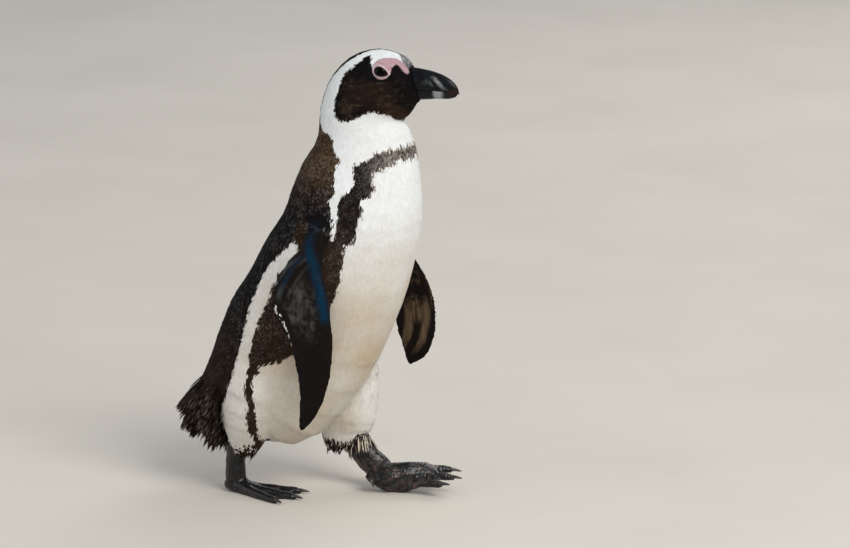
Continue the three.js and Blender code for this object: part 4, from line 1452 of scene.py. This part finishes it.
def build_claws(settings):
    """Each claw: the frame's own, rounded off and finely divided."""
    material = claw_material(settings)
    for node in sorted(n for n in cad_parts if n.startswith("claw_")):
        bm = bmesh.new()
        bm.from_mesh(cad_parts[node].data)
        bmesh.ops.remove_doubles(bm, verts=bm.verts, dist=1e-6)
        mesh = bpy.data.meshes.new(node)
        bm.to_mesh(mesh)
        bm.free()
        thing = mesh_object(node + "_raw", mesh)
        finer = thing.modifiers.new("round", "SUBSURF")
        finer.levels = finer.render_levels = 2
        smooth = plain_copy(thing)
        bpy.data.objects.remove(thing)
        smooth.polygons.foreach_set("use_smooth", [True] * len(smooth.polygons))
        smooth.materials.clear()
        smooth.materials.append(material)
        stand_in(node + "_horn", mesh_object(node + "_horn", smooth), "claw_horn", node)


# ---------------------------------------------------------------- stage

VIEW_AZIMUTH = 20.0  # degrees from square on to the right side, towards the front
VIEW_HEIGHT = 12.0
VIEW_DISTANCE = 6.0
FRAME_WIDTH = 0.9605  # what the camera takes in at the bird's distance, in metres
AIM_HEIGHT = 0.240  # on the bird's upright line
FRAMING = (0.1294, 0.0098)  # how far the view's middle is right of and above that, in widths
LIGHTS = {  # place, size and colour; their powers are settings
    "key": ((2.8, -2.2, 3.1), 2.4, (1.0, 0.97, 0.93)),
    "fill": ((-3.0, -2.4, 1.8), 3.0, (0.93, 0.96, 1.0)),
    "rim": ((0.6, 3.4, 2.6), 2.2, (1.0, 0.98, 0.95)),
}


def build_stage(settings):
    """Floor, camera, three soft lights and a pale surrounding."""
    corners = [(x, y, 0) for x, y in ((-20, -20), (20, -20), (20, 20), (-20, 20))]
    floor = mesh_object("floor", new_mesh("floor", corners, [(0, 1, 2, 3)]))
    floor.data.materials.append(floor_material(settings))

    scene = bpy.context.scene
    turn, rise = math.radians(VIEW_AZIMUTH), math.radians(VIEW_HEIGHT)
    level = math.cos(rise)
    towards = Vector((math.sin(turn) * level, -math.cos(turn) * level, math.sin(rise)))
    camera = bpy.data.cameras.new("camera")
    camera.sensor_width = 36
    camera.lens = camera.sensor_width * VIEW_DISTANCE / FRAME_WIDTH
    camera.shift_x, camera.shift_y = FRAMING
    camera.clip_end = 100
    stand = bpy.data.objects.new("camera", camera)
    stand.location = Vector((SHIFT[0] * MM, SHIFT[1] * MM, AIM_HEIGHT)) + towards * VIEW_DISTANCE
    stand.rotation_euler = (-towards).to_track_quat("-Z", "Y").to_euler()
    scene.collection.objects.link(stand)
    scene.camera = stand

    for name, (place, size, colour) in LIGHTS.items():
        light = bpy.data.lights.new(name, "AREA")
        light.size = size
        light.energy = getattr(settings, name + "_power")
        light.color = colour
        lamp = bpy.data.objects.new(name, light)
        lamp.location = place
        to_bird = Vector((0, 0, 0.25)) - lamp.location
        lamp.rotation_euler = to_bird.to_track_quat("-Z", "Y").to_euler()
        scene.collection.objects.link(lamp)
    world = bpy.data.worlds.new("studio")
    world.use_nodes = True
    surround = world.node_tree.nodes["Background"].inputs
    surround["Color"].default_value = (0.86, 0.9, 0.95, 1)
    surround["Strength"].default_value = 0.5
    scene.world = world
    scene.view_settings.view_transform = "Standard"


# ---------------------------------------------------------------- add-on


def paint(name, code, text):
    """A colour setting."""
    return bpy.props.FloatVectorProperty(
        name=name, description=text, subtype="COLOR", size=4, min=0, max=1, default=linear(code))


class PenguinSettings(bpy.types.PropertyGroup):
    """What a user would change about the model and its studio."""
    white_plumage: paint("White Plumage", "E6E9EA", "Clean white feathers")
    # Stained belly white, also carrying painted shade and the warm bounce of the ground.
    soiled_and_shaded_plumage: paint("Soiled Plumage", "C3B299", "White feathers of the belly, stained")
    dark_plumage: paint("Dark Plumage", "0E0C0D", "Black of the back, the band and the mask")
    brown_plumage: paint("Brown Plumage", "302217", "Worn dark feathers of chest and throat")
    # Painted reflection of the sky along the flippers' leading edge.
    flipper_sky_sheen: paint("Flipper Blue", "042C44", "Sheen along the flippers' leading edge")
    bare_pink: paint("Bare Pink", "B0959A", "Bare skin round the eyes")
    leg_black: paint("Leg Black", "141213", "Dark blotches of legs and feet")
    leg_pink: paint("Leg Pink", "594743", "Pale blotches of legs and feet")
    horn_black: paint("Horn Black", "050607", "Main colour of the bill")
    # Pale cross band, partly a painted soft highlight.
    horn_pale: paint("Horn Pale", "8E9191", "Cross band near the bill's tip")
    eye_brown: paint("Eye Brown", "1A0E09", "Iris")
    claw_black: paint("Claw Black", "17161A", "Main colour of the claws")
    floor_paint: paint("Floor Paint", "D5CFC5", "Studio floor")
    feather_spacing: bpy.props.FloatProperty(
        name="Feather Spacing", description="Distance between feathers, against the model's own",
        default=1.0, min=0.9, max=4.0)
    feather_length: bpy.props.FloatProperty(
        name="Feather Length", description="Length of the feathers, against the model's own",
        default=1.0, min=0.3, max=2.0)
    feather_lift: bpy.props.FloatProperty(
        name="Feather Lift", description="Lift off the skin, against the model's own",
        default=1.0, min=0.0, max=4.0)
    draft_spacing: bpy.props.FloatProperty(
        name="Draft Spacing", description="How much further apart feathers stand in a draft",
        default=1.6, min=1.0, max=4.0)
    key_power: bpy.props.FloatProperty(
        name="Key Light", description="Power of the main light", default=150.0, unit="POWER")
    fill_power: bpy.props.FloatProperty(
        name="Fill Light", description="Power of the fill light", default=28.0, unit="POWER")
    rim_power: bpy.props.FloatProperty(
        name="Rim Light", description="Power of the light from behind", default=40.0, unit="POWER")


class PENGUIN_OT_skin(bpy.types.Operator):
    """One skin over all the flesh"""
    bl_idname = "penguin.skin"
    bl_label = "Build Skin"

    def execute(self, context):
        build_skin(context.scene.penguin)
        return {"FINISHED"}


class PENGUIN_OT_coat(bpy.types.Operator):
    """Feathers over the skin, piece by piece"""
    bl_idname = "penguin.coat"
    bl_label = "Grow Coat"

    def execute(self, context):
        build_coat(context.scene.penguin)
        return {"FINISHED"}


class PENGUIN_OT_bill(bpy.types.Operator):
    """Both halves of the bill"""
    bl_idname = "penguin.bill"
    bl_label = "Build Bill"

    def execute(self, context):
        build_bill(context.scene.penguin)
        return {"FINISHED"}


class PENGUIN_OT_eyes(bpy.types.Operator):
    """The two eyeballs"""
    bl_idname = "penguin.eyes"
    bl_label = "Build Eyes"

    def execute(self, context):
        build_eyes(context.scene.penguin)
        return {"FINISHED"}


class PENGUIN_OT_claws(bpy.types.Operator):
    """The eight claws"""
    bl_idname = "penguin.claws"
    bl_label = "Build Claws"

    def execute(self, context):
        build_claws(context.scene.penguin)
        return {"FINISHED"}


class PENGUIN_OT_stage(bpy.types.Operator):
    """Floor, lights, world and camera"""
    bl_idname = "penguin.stage"
    bl_label = "Build Stage"

    def execute(self, context):
        build_stage(context.scene.penguin)
        return {"FINISHED"}


OPERATORS = (
    PENGUIN_OT_skin, PENGUIN_OT_coat, PENGUIN_OT_bill, PENGUIN_OT_eyes, PENGUIN_OT_claws,
    PENGUIN_OT_stage,
)


class PENGUIN_PT_panel(bpy.types.Panel):
    """Lists the steps that build the bird"""
    bl_idname = "PENGUIN_PT_panel"
    bl_label = "Penguin"
    bl_space_type = "VIEW_3D"
    bl_region_type = "UI"
    bl_category = "Penguin"

    def draw(self, context):
        for name in PenguinSettings.__annotations__:
            self.layout.prop(context.scene.penguin, name)
        for operator in OPERATORS:
            self.layout.operator(operator.bl_idname)


CLASSES = (PenguinSettings, *OPERATORS, PENGUIN_PT_panel)


def register():
    """Makes the settings, steps and panel known to Blender."""
    for each in CLASSES:
        bpy.utils.register_class(each)
    bpy.types.Scene.penguin = bpy.props.PointerProperty(type=PenguinSettings)


def unregister():
    """Takes back what register did."""
    del bpy.types.Scene.penguin
    for each in reversed(CLASSES):
        bpy.utils.unregister_class(each)


def main():
    """Builds every piece in order."""
    register()
    for operator in OPERATORS:
        group, name = operator.bl_idname.split(".")
        getattr(getattr(bpy.ops, group), name)()


if __name__ == "__main__":
    main()
